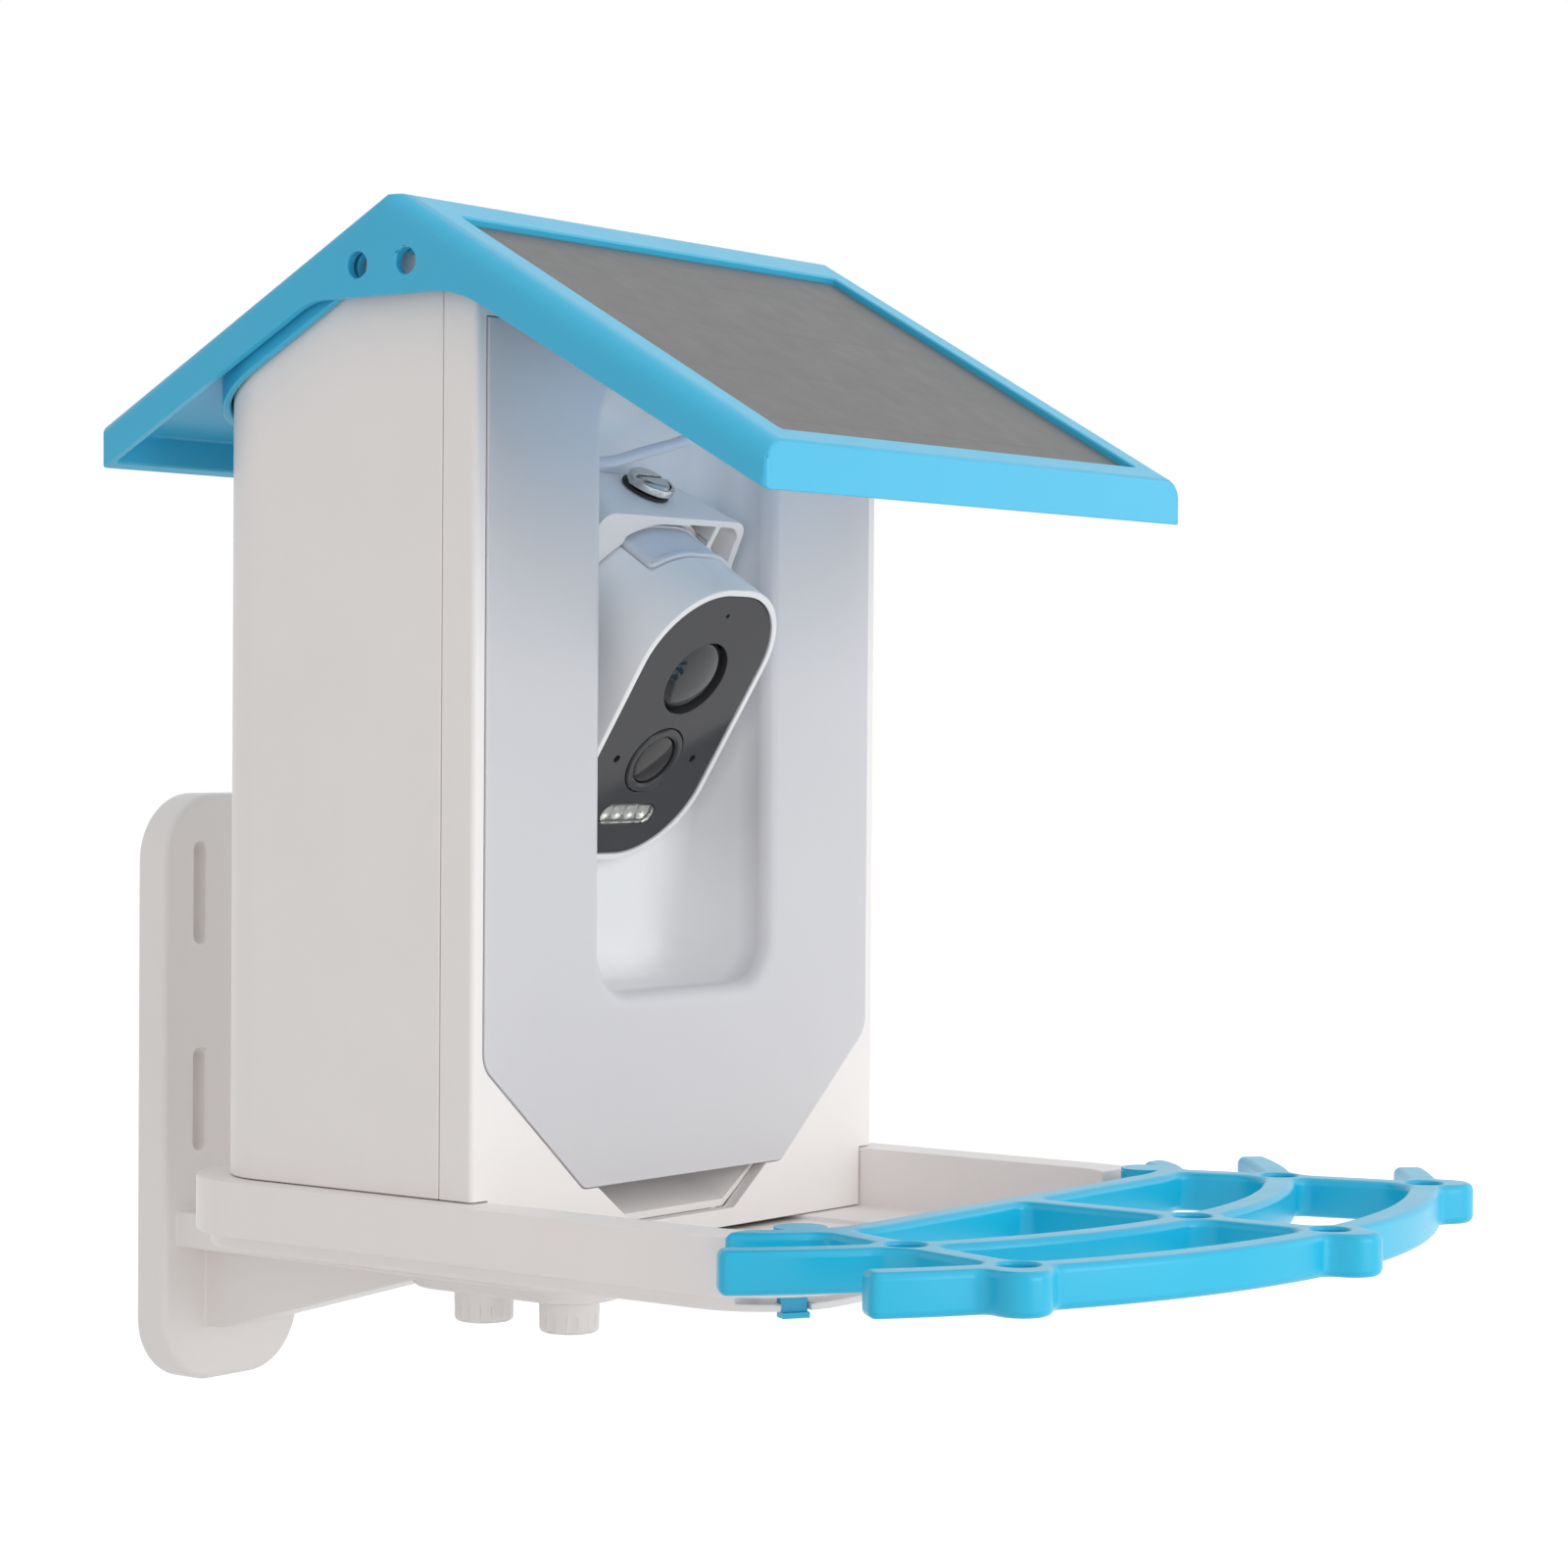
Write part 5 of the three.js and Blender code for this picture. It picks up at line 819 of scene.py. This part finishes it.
# Camera body and face, set out in the camera's own frame
def camera_housing():
    levels = [(0.5 * (1 - cos(t)), 0.5 * (1 - sin(t))) for t in (0, 0.5, 1.0, pi / 2)]
    levels += [(BODY_DEPTH - rise, step) for step, rise in rim(5, 8)]
    outline = tidy_outline(body_outline(0))
    outer = skin([[(x, y, z) for x, z in inset(outline, step)] for y, step in levels])
    hollow = body_form(-2 * WALL, 3, BODY_DEPTH - 2 * WALL)
    bed = cut(box(-PORT_HALF, PORT_HALF, 17.2, 33.8, 0, ROOF_HALF), body_form(-0.6, 0, BODY_DEPTH))
    port = cut(common(body_form(0, 20.5, 31), box(-15, 15, 20.5, 31, 0, ROOF_HALF)),
               body_form(-WALL, 0, BODY_DEPTH))
    boss, insert = rod(6.9, 35.6, 42.05, 0, RING_SCREW_Y), rod(5.3, 37.5, BODY_TALL + OVER, 0, RING_SCREW_Y)
    button = rod(2.3, 20, ROOF_HALF, 10, PORT_Y, 32)
    socket = prism(rect(4.9, 2.1, 2.0, -3, PORT_Y, 8), 20, ROOF_HALF)
    plug = rod(PLUG_HOLE, BODY_DEPTH - 5.7, BODY_DEPTH + OVER, way=FRONT)
    body = join(cut(outer, body_form(-WALL, -OVER, 4), hollow), boss, *side_boxes(21.6, 25.5, 16.7, 18.7, -12, 12))
    return cut(body, insert, bed, port, button, socket, plug)


piece("camera_body", camera_housing(), "camera_housing", CAMERA_WHITE, edge=0.25, matrix=CAMERA)


def faceplate():
    plate = body_form(-2.2, 0.5, 2.5, edge=0.25, edge_high=0.0)

    def hole(radius, z, deep=3.5, x=0, steps=FINE):
        return rod(radius, -OVER, deep, x, z, steps, FRONT)

    return cut(join(plate, rod(12.5, 0.9, 8, 0, PIR_Z, way=FRONT)), hole(11.4, PIR_Z, 6.9), hole(9.3, PIR_Z, 9),
               hole(10.5, LENS_Z), prism(rect(11.5, 3.3, 3.3, 0, LED_Z), -OVER, 3.5, FRONT),
               hole(0.6, 35.5, steps=24), *[hole(1.1, -10.6, x=s * 16.5, steps=32) for s in SIDES])


piece("camera_face", faceplate(), "camera_faceplate", FACE, edge=0.18, matrix=CAMERA)


def along_view(z):
    """Sets a turned piece along the view axis, its height as depth"""
    return CAMERA @ shift(0, 0, z) @ TO_VIEW


def domed(back, radius, base, rise, steps, power):
    """Profile of a dome that starts at a base and rises to the front"""
    return [(0, back), (radius, back), (radius, base),
            *[(radius * cos(t) ** power, base - rise * sin(t) ** power) for t in quarter(steps)[1:-1]],
            (0, base - rise)]


# The motion sensor's dome is hollow
dome = cut(turned(domed(6.6, 11.1, 3.1, 2.6, 24, 0.9)), turned([(0, 8), (8.2, 8), (8.2, 4.4), (0, 3.3)]))
piece("sensor_dome", dome, "pir_lens", SMOKED, edge=0.15, matrix=along_view(PIR_Z))
barrel = turned([(7.6, 0.5), (8.2, 0.08), (8.5, 0.0), (9.6, 0.0), (9.9, 0.08), (10.2, 0.5), (10.2, 11), (6.5, 11),
                 (6.5, 2.5), (7.6, 2.5)])
piece("lens_barrel", barrel, "lens_ring", FACE, edge=0.1, matrix=along_view(LENS_Z))
piece("lens_front", turned(domed(2.2, 7.3, 1.0, 0.5, 12, 1.0)), "lens_glass", LENS, matrix=along_view(LENS_Z))

# Lamp window with four small reflector cups behind it
lamp_outline = rect(11.2, 3.0, 3.0, 0, LED_Z, 16)
led_cover = prism(lamp_outline, 0.5, 2.5, FRONT, edge=0.2, edge_high=0.0)
piece("lamp_window", led_cover, "led_window", CLEAR, matrix=CAMERA)
cup = [(0, 0.9), (1.1, 0.9), (2.2, 0.0), (2.6, 0.0), (2.6, 1.2), (0, 1.2)]
emitter = [(0, 0), (0.75, 0.1), (0.75, 1.0), (0, 1.0)]
lamps = [place(turned(profile, steps), shift(x, y, LED_Z) @ TO_VIEW)
         for profile, steps, y in ((cup, 32, 2.95), (emitter, 24, 3.1)) for x in (-8.1, -2.7, 2.7, 8.1)]
piece("lamp_board", join(prism(lamp_outline, 3.6, 5.0, FRONT), *lamps), "led_board", REFLECTOR, matrix=CAMERA)


def usb_cover():
    """Soft cover over the port: a curved sheet with a low border round a shallow panel"""
    sheet = cut(body_form(1.0, 17.5, 33.5, edge=0.5), body_form(-0.3, 16, 35))
    whole, panel = [prism(rect(*size, 0, 25.5, 8), 0, ROOF_HALF)
                    for size in ((17.6, 8.0, 2.2), (15.9, 6.2, 1.4))]
    return cut(common(sheet, whole), cut(panel, body_form(0.55, 16, 35)))


piece("port_cover", usb_cover(), "usb_cover", SILICONE, edge=0.2, matrix=CAMERA)

# Tray: a broad rim with a fine lip, a lower ring, a trough and the thin front wall that the perch rail wraps
FINGER_X, FINGER_Y = 79, -98
FINGER_OUT, FINGER_ALONG = FINGER_X - TRAY_HALF + TRAY_CORNER, FINGER_Y - TRAY_FRONT - TRAY_CORNER
FINGER = (shift(TRAY_HALF - TRAY_CORNER, TRAY_FRONT + TRAY_CORNER, 0)
          @ Matrix.Rotation(atan2(FINGER_ALONG, FINGER_OUT), 4, "Z"))
HOUSE_LINE = -85


def tray_form(inset_by, low, high, **edges):
    """The tray's plan, moved inwards, between two heights"""
    tall, middle = (TRAY_REAR - TRAY_FRONT) / 2, (TRAY_REAR + TRAY_FRONT) / 2
    plan = rect(TRAY_HALF - inset_by, tall - inset_by, TRAY_CORNER - inset_by, 0, middle, 20)
    return prism(plan, low, high, **edges)


def tray_body():
    band = tray_form(0, -TRAY_BAND, 0, edge=0.8, edge_high=0.5)
    ring = tray_form(4, TRAY_FOOT_Z, -TRAY_BAND + OVER, edge=0.8, edge_high=0.0)
    across, under = (-TRAY_HALF, TRAY_HALF), TRAY_FOOT_Z - OVER
    rear_well = common(tray_form(RIM, TRAY_FLOOR_Z, OVER),
                       box(*across, HOUSE_LINE - 1, TRAY_REAR, TRAY_FOOT_Z, OVER))
    front_well = common(tray_form(2.6, TRAY_FLOOR_Z, OVER), box(*across, TRAY_FRONT, HOUSE_LINE, TRAY_FOOT_Z, OVER))
    lip = box(*across, TRAY_FRONT - OVER, HOUSE_LINE, -1.4, OVER)
    trough = common(tray_form(RIM, TRAY_FLOOR_Z - 1.3, 0),
                    box(-53.5, 53.5, TRAY_FRONT + 5.2, TRAY_REAR, TRAY_FOOT_Z, 0))
    room = cut(tray_form(6.4, under, -2.6), tray_form(10.4, TRAY_FOOT_Z - 2, 0),
               box(*across, TRAY_FRONT - OVER, HOUSE_LINE + RIM, TRAY_FOOT_Z - 2, 0))
    bosses = [rod(5.5, TRAY_FOOT_Z, 0, x, y, 32) for x, y in POSTS]
    pad = prism(rect(19, 28, 4, 0, 62, 8), -22.2, TRAY_FOOT_Z + OVER)
    inserts = [rod(6.6, TRAY_FOOT_Z, -12.2, 0, y, 40) for y in HAND_SCREWS]
    bores = [rod(4.9, -22.5, -14.2, 0, y, 40) for y in HAND_SCREWS]
    bores += [rod(SCREW_HOLE, under, -4, x, y, 32) for x, y in POSTS]
    bores += [rod(SCREW_PILOT, TRAY_FOOT_Z, OVER, x, y, 24) for x, y in POSTS]
    slot = place(join(box(21.2, 24.4, -3.8, 3.8, under, 0), box(24.1, 30, -3.8, 3.8, under, TRAY_FOOT_Z + 2.9)),
                 FINGER)
    shell = cut(join(band, ring), rear_well, front_well, lip, trough, room)
    return cut(join(shell, *bosses, pad, *inserts), *bores, slot, mirrored(slot))


piece("seed_tray", tray_body(), "tray", TRAY_WHITE, edge=0.35)

# Perch: two arcs, three spokes, lobes with holes and a rail round the tray's front wall
PERCH_TOP, PERCH_FOOT, PERCH_BAR, PERCH_END, PERCH_HOLE = 2.0, -8.5, 8.6, -90, 4.9
SPOKE_Y, TIP_Y, LOBE, NOSE, FILLET = -108.5, -198.5, 7.4, 6.0, 4.0
# Each arc's centre, radius and end across X, and where a lobe with a hole lies on it
ARCS = ((6.0, 166.0, 122.2, 87.7), (3.5, 202.0, 128.3, 98))


def lattice_nodes():
    sides = [(s * x, centre - sqrt(radius ** 2 - x * x)) for s in SIDES for centre, radius, _, x in ARCS]
    return [(0, -160), (0, TIP_Y), *sides]


def rounded_block(u, v, half_u, half_v, corner):
    """Distance to a rounded block, below zero inside it"""
    a, b = np.abs(u) - half_u + corner, np.abs(v) - half_v + corner
    return np.hypot(np.maximum(a, 0), np.maximum(b, 0)) + np.minimum(np.maximum(a, b), 0) - corner


def lattice_field(x, y):
    """Distance to the lattice seen from above, its bars run together with soft fillets"""
    half = PERCH_BAR / 2
    fields = []
    for centre, radius, end_x, _ in ARCS:
        fields.append(rounded_block(np.arctan2(x, centre - y) * radius, np.hypot(x, y - centre) - radius,
                                    asin(end_x / radius) * radius, half, 2.2))
    nodes = lattice_nodes()
    bars = [(0, SPOKE_Y, 0, TIP_Y)]
    for s, a, b in zip(SIDES, nodes[2::2], nodes[3::2]):
        bars += [(s * FINGER_X, SPOKE_Y, *a), (*a, *b)]
    for x0, y0, x1, y1 in bars:
        length = hypot(x1 - x0, y1 - y0)
        ux, uy = (x1 - x0) / length, (y1 - y0) / length
        dx, dy = x - (x0 + x1) / 2, y - (y0 + y1) / 2
        fields.append(rounded_block(dx * ux + dy * uy, dy * ux - dx * uy, length / 2, half, 0.5))
    tip_x, tip_y = nodes[-1]
    noses = [(0, TIP_Y - NOSE), *[(s * (tip_x + 4.62), tip_y - 3.84) for s in (1, -1)]]
    fields += [np.hypot(x - cx, y - cy) - LOBE for cx, cy in nodes + noses]
    middle, tall = (TRAY_REAR + TRAY_FRONT) / 2, (TRAY_REAR - TRAY_FRONT) / 2
    out, within = [rounded_block(x, y - middle, TRAY_HALF + g, tall + g, TRAY_CORNER + g)
                   for g in (GAP + PERCH_BAR, GAP)]
    fields.append(np.maximum(out, -within))
    total = fields[0]
    for other in fields[1:]:
        blend = np.maximum(FILLET - np.abs(total - other), 0.0) / FILLET
        total = np.minimum(total, other) - blend * blend
    total, end, corner = np.maximum(total, -within), y - PERCH_END, 2.4
    return (np.minimum(-corner, np.maximum(total, end))
            + np.hypot(np.maximum(corner + total, 0), np.maximum(corner + end, 0)))


def field_slope(points, step=0.02):
    x, y = points.T
    slope = np.stack([lattice_field(x + step, y) - lattice_field(x - step, y),
                      lattice_field(x, y + step) - lattice_field(x, y - step)], 1) / (2 * step)
    return slope / np.maximum(np.linalg.norm(slope, axis=1, keepdims=True), 1e-6)


def drawn_to(points, distance, times):
    """Points moved step by step to where the field has a value"""
    for _ in range(times):
        points = points - (lattice_field(*points.T) - distance)[:, None] * field_slope(points)
    return points


def lattice_loops(cell=0.8, spacing=0.7):
    """Evenly spaced outlines where the field crosses zero"""
    xs, ys = np.arange(-135, 135, cell), np.arange(-216, -84, cell)
    grid = lattice_field(*np.meshgrid(xs, ys, indexing="ij"))
    inside = grid < 0
    links = {}
    mixed = inside[:-1, :-1].astype(int) + inside[1:, :-1] + inside[1:, 1:] + inside[:-1, 1:]
    for i, j in zip(*np.nonzero((mixed > 0) & (mixed < 4))):
        ends = [(i, j), (i + 1, j), (i + 1, j + 1), (i, j + 1)]
        crossed = [tuple(sorted((a, b))) for a, b in zip(ends, ends[1:] + ends[:1]) if inside[a] != inside[b]]
        if len(crossed) == 4 and inside[i, j]:
            crossed = crossed[1:] + crossed[:1]
        for a, b in zip(crossed[::2], crossed[1::2]):
            links.setdefault(a, []).append(b)
            links.setdefault(b, []).append(a)
    loops = []
    while links:
        key = next(iter(links))
        points = []
        while key in links:
            a, b = key
            t = grid[a] / (grid[a] - grid[b])
            points.append((xs[a[0]] + (xs[b[0]] - xs[a[0]]) * t, ys[a[1]] + (ys[b[1]] - ys[a[1]]) * t))
            key = next((k for k in links.pop(key) if k in links), None)
        if len(points) < 8:
            continue
        closed = np.array(points + points[:1])
        run = np.concatenate([[0.0], np.cumsum(np.linalg.norm(np.diff(closed, axis=0), axis=1))])
        at = np.linspace(0, run[-1], max(12, round(run[-1] / spacing)), endpoint=False)
        points = drawn_to(np.stack([np.interp(at, run, closed[:, k]) for k in (0, 1)], 1), 0.0, 3)
        x, y = points.T
        loops.append(points if np.sum(x * np.roll(y, -1) - y * np.roll(x, -1)) > 0 else points[::-1])
    return loops


def rounded_slab(outlines, low, high):
    """A flat piece between two heights, each outline a rim's rounding and its points at a distance inwards"""
    verts, faces, caps = [], [], ([], [])
    for edge, outline in outlines:
        levels = [(low + rise, step) for rise, step in rim(edge, 5)]
        levels += [(high + low - z, step) for z, step in reversed(levels)]
        rings = [[(*p, z) for p in outline(step)] for z, step in levels]
        faces += walls(rings, len(verts))
        caps[0].append(list(range(len(verts), len(verts) + len(rings[0]))))
        verts += [p for ring in rings for p in ring]
        caps[1].append(list(range(len(verts) - len(rings[0]), len(verts))))
    for rings in caps:
        order = [v for ring in rings for v in ring]
        place_of = {v: k for k, v in enumerate(order)}
        after = [place_of[b] for ring in rings for b in ring[1:] + ring[:1]]
        # A shake of a few microns keeps points on a straight run from lying exactly in line
        shake = 0.003 * np.sin(np.outer(np.arange(len(order)), (12.9, 78.2)))
        flat = np.array([verts[v][:2] for v in order]) + shake
        spots, sources, parts = filled(flat, after, 1e-9)
        own = [order[source[0]] if source else order[np.argmin(np.hypot(*(flat - spot).T))]
               for spot, source in zip(spots, sources)]
        made = [[own[k] for k in part] for part, up, down in parts if (up + down) % 2]
        faces += [face for face in made if len(set(face)) > 2]
    mesh = mesh_from(verts, faces)
    with edited(mesh) as work:
        bmesh.ops.remove_doubles(work, verts=work.verts, dist=0.05)
        bmesh.ops.dissolve_degenerate(work, dist=0.01, edges=work.edges)
    return mesh


def perch_lattice():
    def stepped(points):
        """The outline at a distance inwards, drawn back to where the field says that distance is"""
        return lambda d: drawn_to(points - field_slope(points) * d, -d, 4)

    outlines = [(1.9, stepped(points)) for points in lattice_loops()]
    outlines += [(0.9, lambda d, x=x, y=y: circle(PERCH_HOLE + d, x, y, 48)) for x, y in lattice_nodes()]
    return rounded_slab(outlines, PERCH_FOOT, PERCH_TOP)


def perch_fingers():
    foot, thick = TRAY_FOOT_Z - GAP - 1.4, 1.4
    finger = join(box(21.5, 24.1, -3.5, 3.5, foot, 1.0), box(22.8, 25.7, -3.5, 3.5, foot, foot + thick),
                  rod(6.5, -1.1, PERCH_TOP, hypot(FINGER_OUT, FINGER_ALONG), 0, 48))
    return [place(finger, FINGER), mirrored(finger)]


piece("perch_lattice", join(perch_lattice(), *perch_fingers()), "perch", PERCH_BLUE)


# Wall bracket
def bracket():
    front, back, wall = 173.0, 184.6, 174
    plate = prism(rect(28.3, 87.5, 20, 0, 13.2, 24), front, back, FRONT, edge=2.1, edge_high=0.6)
    slots = [prism(rect(2.5, 15.2, 2.5, s * 14.3, z, 12), front - OVER, back + OVER, FRONT)
             for z in (71.4, 9.9) for s in SIDES]
    arm = prism(four_corners(23.3, 20, 22.8, wall, 0, 24), -33.3, -22.5, edge=1.0)
    pad = prism(rect(14, 33.5, 13.7, 0, 60.5, 20), -38, -23.5, edge=0.8, edge_high=0.0)
    gusset = prism([(84.5, -23.5), (wall, -23.5), (wall, -58.1), (166.7, -58.1), (84.5, -35)], -11.5, 11.5, SIDE,
                   edge=0.8)
    holes = [rod(SCREW_HOLE, -58.1, -21.5, 0, y, 32) for y in HAND_SCREWS]
    return cut(join(plate, arm, pad, gusset), *slots, *holes)


piece("wall_arm", bracket(), "wall_bracket", WHITE, edge=0.6)


def thumb_screw():
    knob = turned([(0, -9.2), (6.9, -9.2), (7.9, -8.9), (8.4, -8.2), (8.5, -7.6), (8.5, -0.9), (8.2, -0.3),
                   (7.6, 0), (0, 0)])
    flutes = [place(turned([(0, -12), (5, -12), (5, -4.4), (4.4, -1.9), (0, -1.9)], 96), shift(x, y, 0))
              for x, y in circle(13, steps=8)]
    return join(cut(knob, *flutes), rod(3.0, -OVER, 21.5, steps=32))


for end, y in zip(("front", "rear"), HAND_SCREWS):
    piece(f"hand_screw_{end}", thumb_screw(), f"thumb_screw_{end}", WHITE, edge=0.35, matrix=shift(0, y, -38.3))


# Ring screw on the hood, its folding bail and its washer
def ring_screw():
    head = turned([(0, -9.6), (2.6, -9.6), (3, -9.2), (3, 0), (5.9, 0), (6.1, 0.2), (6.1, 2.1), (5.9, 2.5),
                   (5.1, 3.1), (4.7, 3.2), (0, 3.2)])
    bore = cut(rod(0.8, -7.1, 7.1, 0, 1.5, 24, SIDE), box(-4.3, 4.3, -6.1, 6.1, 0, 3.2))
    return cut(head, box(-6.1, 6.1, -0.7, 0.7, 1.9, 4.2), bore)


def ring_bail():
    """Half ring of flat band, rounded at its ends, with two pins into the head"""
    inner, outer, middle, half = 6.45, 7.55, 1.5, 1.1
    ring = cut(prism(circle(outer, steps=72), middle - half, middle + half, edge=0.3), rod(inner, 0, 3, steps=72))
    ends = [rod(radius, *sorted((s * x0, s * x1)), 0, middle, 24, SIDE)
            for radius, x0, x1 in ((half, inner, outer), (0.7, 4.6, 7.0)) for s in SIDES]
    return join(common(ring, box(-8, 8, -8, 0, 0, 3)), *ends)


HEAD = CAMERA @ shift(0, RING_SCREW_Y, HOOD_TOP + 1.5)
piece("screw_head", ring_screw(), "ring_screw", STEEL, edge=0.12, matrix=HEAD)
piece("screw_bail", ring_bail(), "ring_bail", STEEL, edge=0.05, matrix=HEAD)
washer = turned([(3.3, 0.1), (3.5, 0), (6.8, 0), (7.0, 0.2), (7.0, 0.7), (6.8, 0.9), (3.5, 0.9), (3.3, 0.8)])
piece("screw_pad", washer, "screw_washer", BLACK_RUBBER, matrix=CAMERA @ shift(0, RING_SCREW_Y, HOOD_TOP + GAP))

# Lead from the camera to the panel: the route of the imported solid
PLUG_END = BODY_DEPTH - 1.9 + 14
LOOP = [(0, 0.3, 0), (0, 4.3, 0), (0, 12.26, 0.03), (-4, 17.05, 1.94), (-11, 18.61, 8.07), (-18, 14.02, 17.56),
        (-22.5, 4.95, 29.34), (-24, -3, 37.3)]
ROUTE = [CAMERA @ Vector((x, PLUG_END + y, z)) for x, y, z in LOOP] + [
    (-23.4, 36, 192.2), (-23, 30, 192.5), (-22.6, 22, 192.8), (-20, 17.4, 193), (-14, 14.4, 193.9),
    (-6.5, 12.4, 196.2), (1.2, 11.2, 198.2), (8.6, 10.4, 200.2), (15.4, 9.8, 202.6), (20, 9.4, 206.2),
    (22, 9.2, 210), (22.3, 9.2, 213.5), (22.8, 9.4, 218), (26, 10.2, 224.5), (29.4, 10.8, 230.4), (30, 9.6, 234.9)]
piece("panel_lead", tube(curve_through(ROUTE, 8), 1.65, 20), "solar_cable", SILICONE)
gland = [(2.25, -2.4), (3.1, -2.4), (3.4, -2.1), (3.4, 2.1), (3.1, 2.4), (2.25, 2.4)]
x, z = GROMMET_REAR
piece("grommet_rear", turned(gland), "cable_grommet_back", SILICONE,
      matrix=shift(x, pocket_back(z) + 1, z) @ TO_VIEW)
piece("grommet_top", turned(gland), "cable_grommet_top", SILICONE, matrix=shift(*GROMMET_TOP, POCKET_TOP + 1))

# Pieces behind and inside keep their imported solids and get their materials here
CARRIED = {
    "seed_funnel": WHITE, "camera_board": BOARD, "camera_battery_left": CELL, "camera_battery_right": CELL,
    "face_gasket": BLACK_RUBBER, "usb_socket": STEEL, "reset_button": BLACK, "tripod_insert": BRASS,
    "tray_insert_front": BRASS, "tray_insert_rear": BRASS, "cable_plug": SILICONE, "junction_box": BLACK,
    "hinge_pin_left": STEEL, "hinge_pin_right": STEEL, "cradle_screw_left": STEEL, "cradle_screw_right": STEEL,
    **{f"tray_screw_{i}": STEEL for i in (1, 2, 3, 4)},
}
for node, material in CARRIED.items():
    mesh = frame["nodes"][node].data
    mesh.materials.clear()
    mesh.materials.append(material)

# Pale floor below the bracket, soft lamps and a white surround
BRACKET_FOOT, FLOOR_DROP, FLOOR_HALF = -74.3 - 13.2, 60, 6
floor_z = (BRACKET_FOOT - FLOOR_DROP) * MM
floor = bpy.data.meshes.new("floor")
corners = [(x * FLOOR_HALF, y * FLOOR_HALF, floor_z) for x, y in ((-1, -1), (1, -1), (1, 1), (-1, 1))]
floor.from_pydata(corners, [], [(0, 1, 2, 3)])
floor = stand("floor", floor)


def seen_white(tree, shader, out, white):
    """The camera, mirrors and glass see plain white, the rest of the light sees the shader"""
    path = add(tree, "LightPath", {})
    total = path["Is Camera Ray"]
    for name in ("Is Glossy Ray", "Is Transmission Ray"):
        total = add(tree, "Math", {0: total, 1: path[name]}, operation="MAXIMUM")[0]
    tree.links.new(add(tree, "MixShader", {0: total, 1: shader, 2: white})[0], out)


world = bpy.data.worlds.new("studio")
world.use_nodes = True
bpy.context.scene.world = world
tree = world.node_tree
soft, white = tree.nodes["Background"], tree.nodes.new("ShaderNodeBackground")
for node, strength in ((soft, 0.62), (white, 1.0)):
    node.inputs["Color"].default_value = (1.0, 1.0, 1.0, 1.0)
    node.inputs["Strength"].default_value = strength
seen_white(tree, soft.outputs[0], tree.nodes["World Output"].inputs["Surface"], white.outputs[0])

FLOOR = Surface("studio_floor", (0.86, 0.86, 0.86), 0.7, Specular_IOR_Level=0.2)
FLOOR.vary_color(FLOOR.noise(3.0), 0.004)
floor.data.materials.append(FLOOR.material)
glow = FLOOR.add("Emission", {"Strength": 0.5})[0]
lit = FLOOR.add("AddShader", {0: FLOOR.shader.outputs[0], 1: glow})[0]
seen_white(FLOOR.tree, FLOOR.shader.outputs[0], FLOOR.out, lit)


def lamp(name, power, size, where, target=(0.0, -0.15, 0.08), color=(1.0, 1.0, 1.0)):
    light = bpy.data.lights.new(name, "AREA")
    light.shape, light.color, light.energy = "RECTANGLE", color, power
    light.size, light.size_y = size
    made = stand(name, light)
    made.location = where
    made.rotation_euler = (Vector(where) - Vector(target)).to_track_quat("Z", "Y").to_euler()


lamp("key", 15.5, (1.4, 1.4), (0.0, -2.1, 0.3), color=(1.0, 0.99, 0.975))
lamp("side", 2.8, (1.2, 1.2), (1.6, -1.3, 0.4))
lamp("high", 4.5, (1.4, 1.4), (0.2, -1.5, 1.6))
lamp("left_fill", 2.6, (1.2, 1.2), (-1.7, -0.9, 0.0), color=(1.0, 0.84, 0.82))
# The blue light that the eave throws down on the hood and the sheet below it
lamp("eave_bounce", 0.012, (0.14, 0.04), (0.0, -0.2126, 0.1918), (0.0, -0.1446, 0.15), (0.35, 0.66, 1.0))

# Camera at the photograph's place, its focal length in pixels of a picture 1600 wide
YAW, PITCH, ROLL, FOCAL, WIDTH, SENSOR = 0.9265214, 0.0170519, 0.0071551, 3856.498, 1600, 36.0
ahead = Vector((sin(YAW) * cos(PITCH), cos(YAW) * cos(PITCH), -sin(PITCH)))
right = Vector((cos(YAW), -sin(YAW), 0.0))
up = right.cross(ahead)
right, up = right * cos(ROLL) + up * sin(ROLL), up * cos(ROLL) - right * sin(ROLL)
camera = stand("camera", bpy.data.cameras.new("camera"))
camera.matrix_world = Matrix([(right.x, up.x, -ahead.x, -0.80748), (right.y, up.y, -ahead.y, -0.82393),
                              (right.z, up.z, -ahead.z, 0.11079), (0, 0, 0, 1)])
camera.data.sensor_width, camera.data.lens = SENSOR, FOCAL / WIDTH * SENSOR
camera.data.clip_start, camera.data.clip_end = 0.01, 50.0
bpy.context.scene.camera = camera
bpy.context.scene.view_settings.view_transform = "Standard"
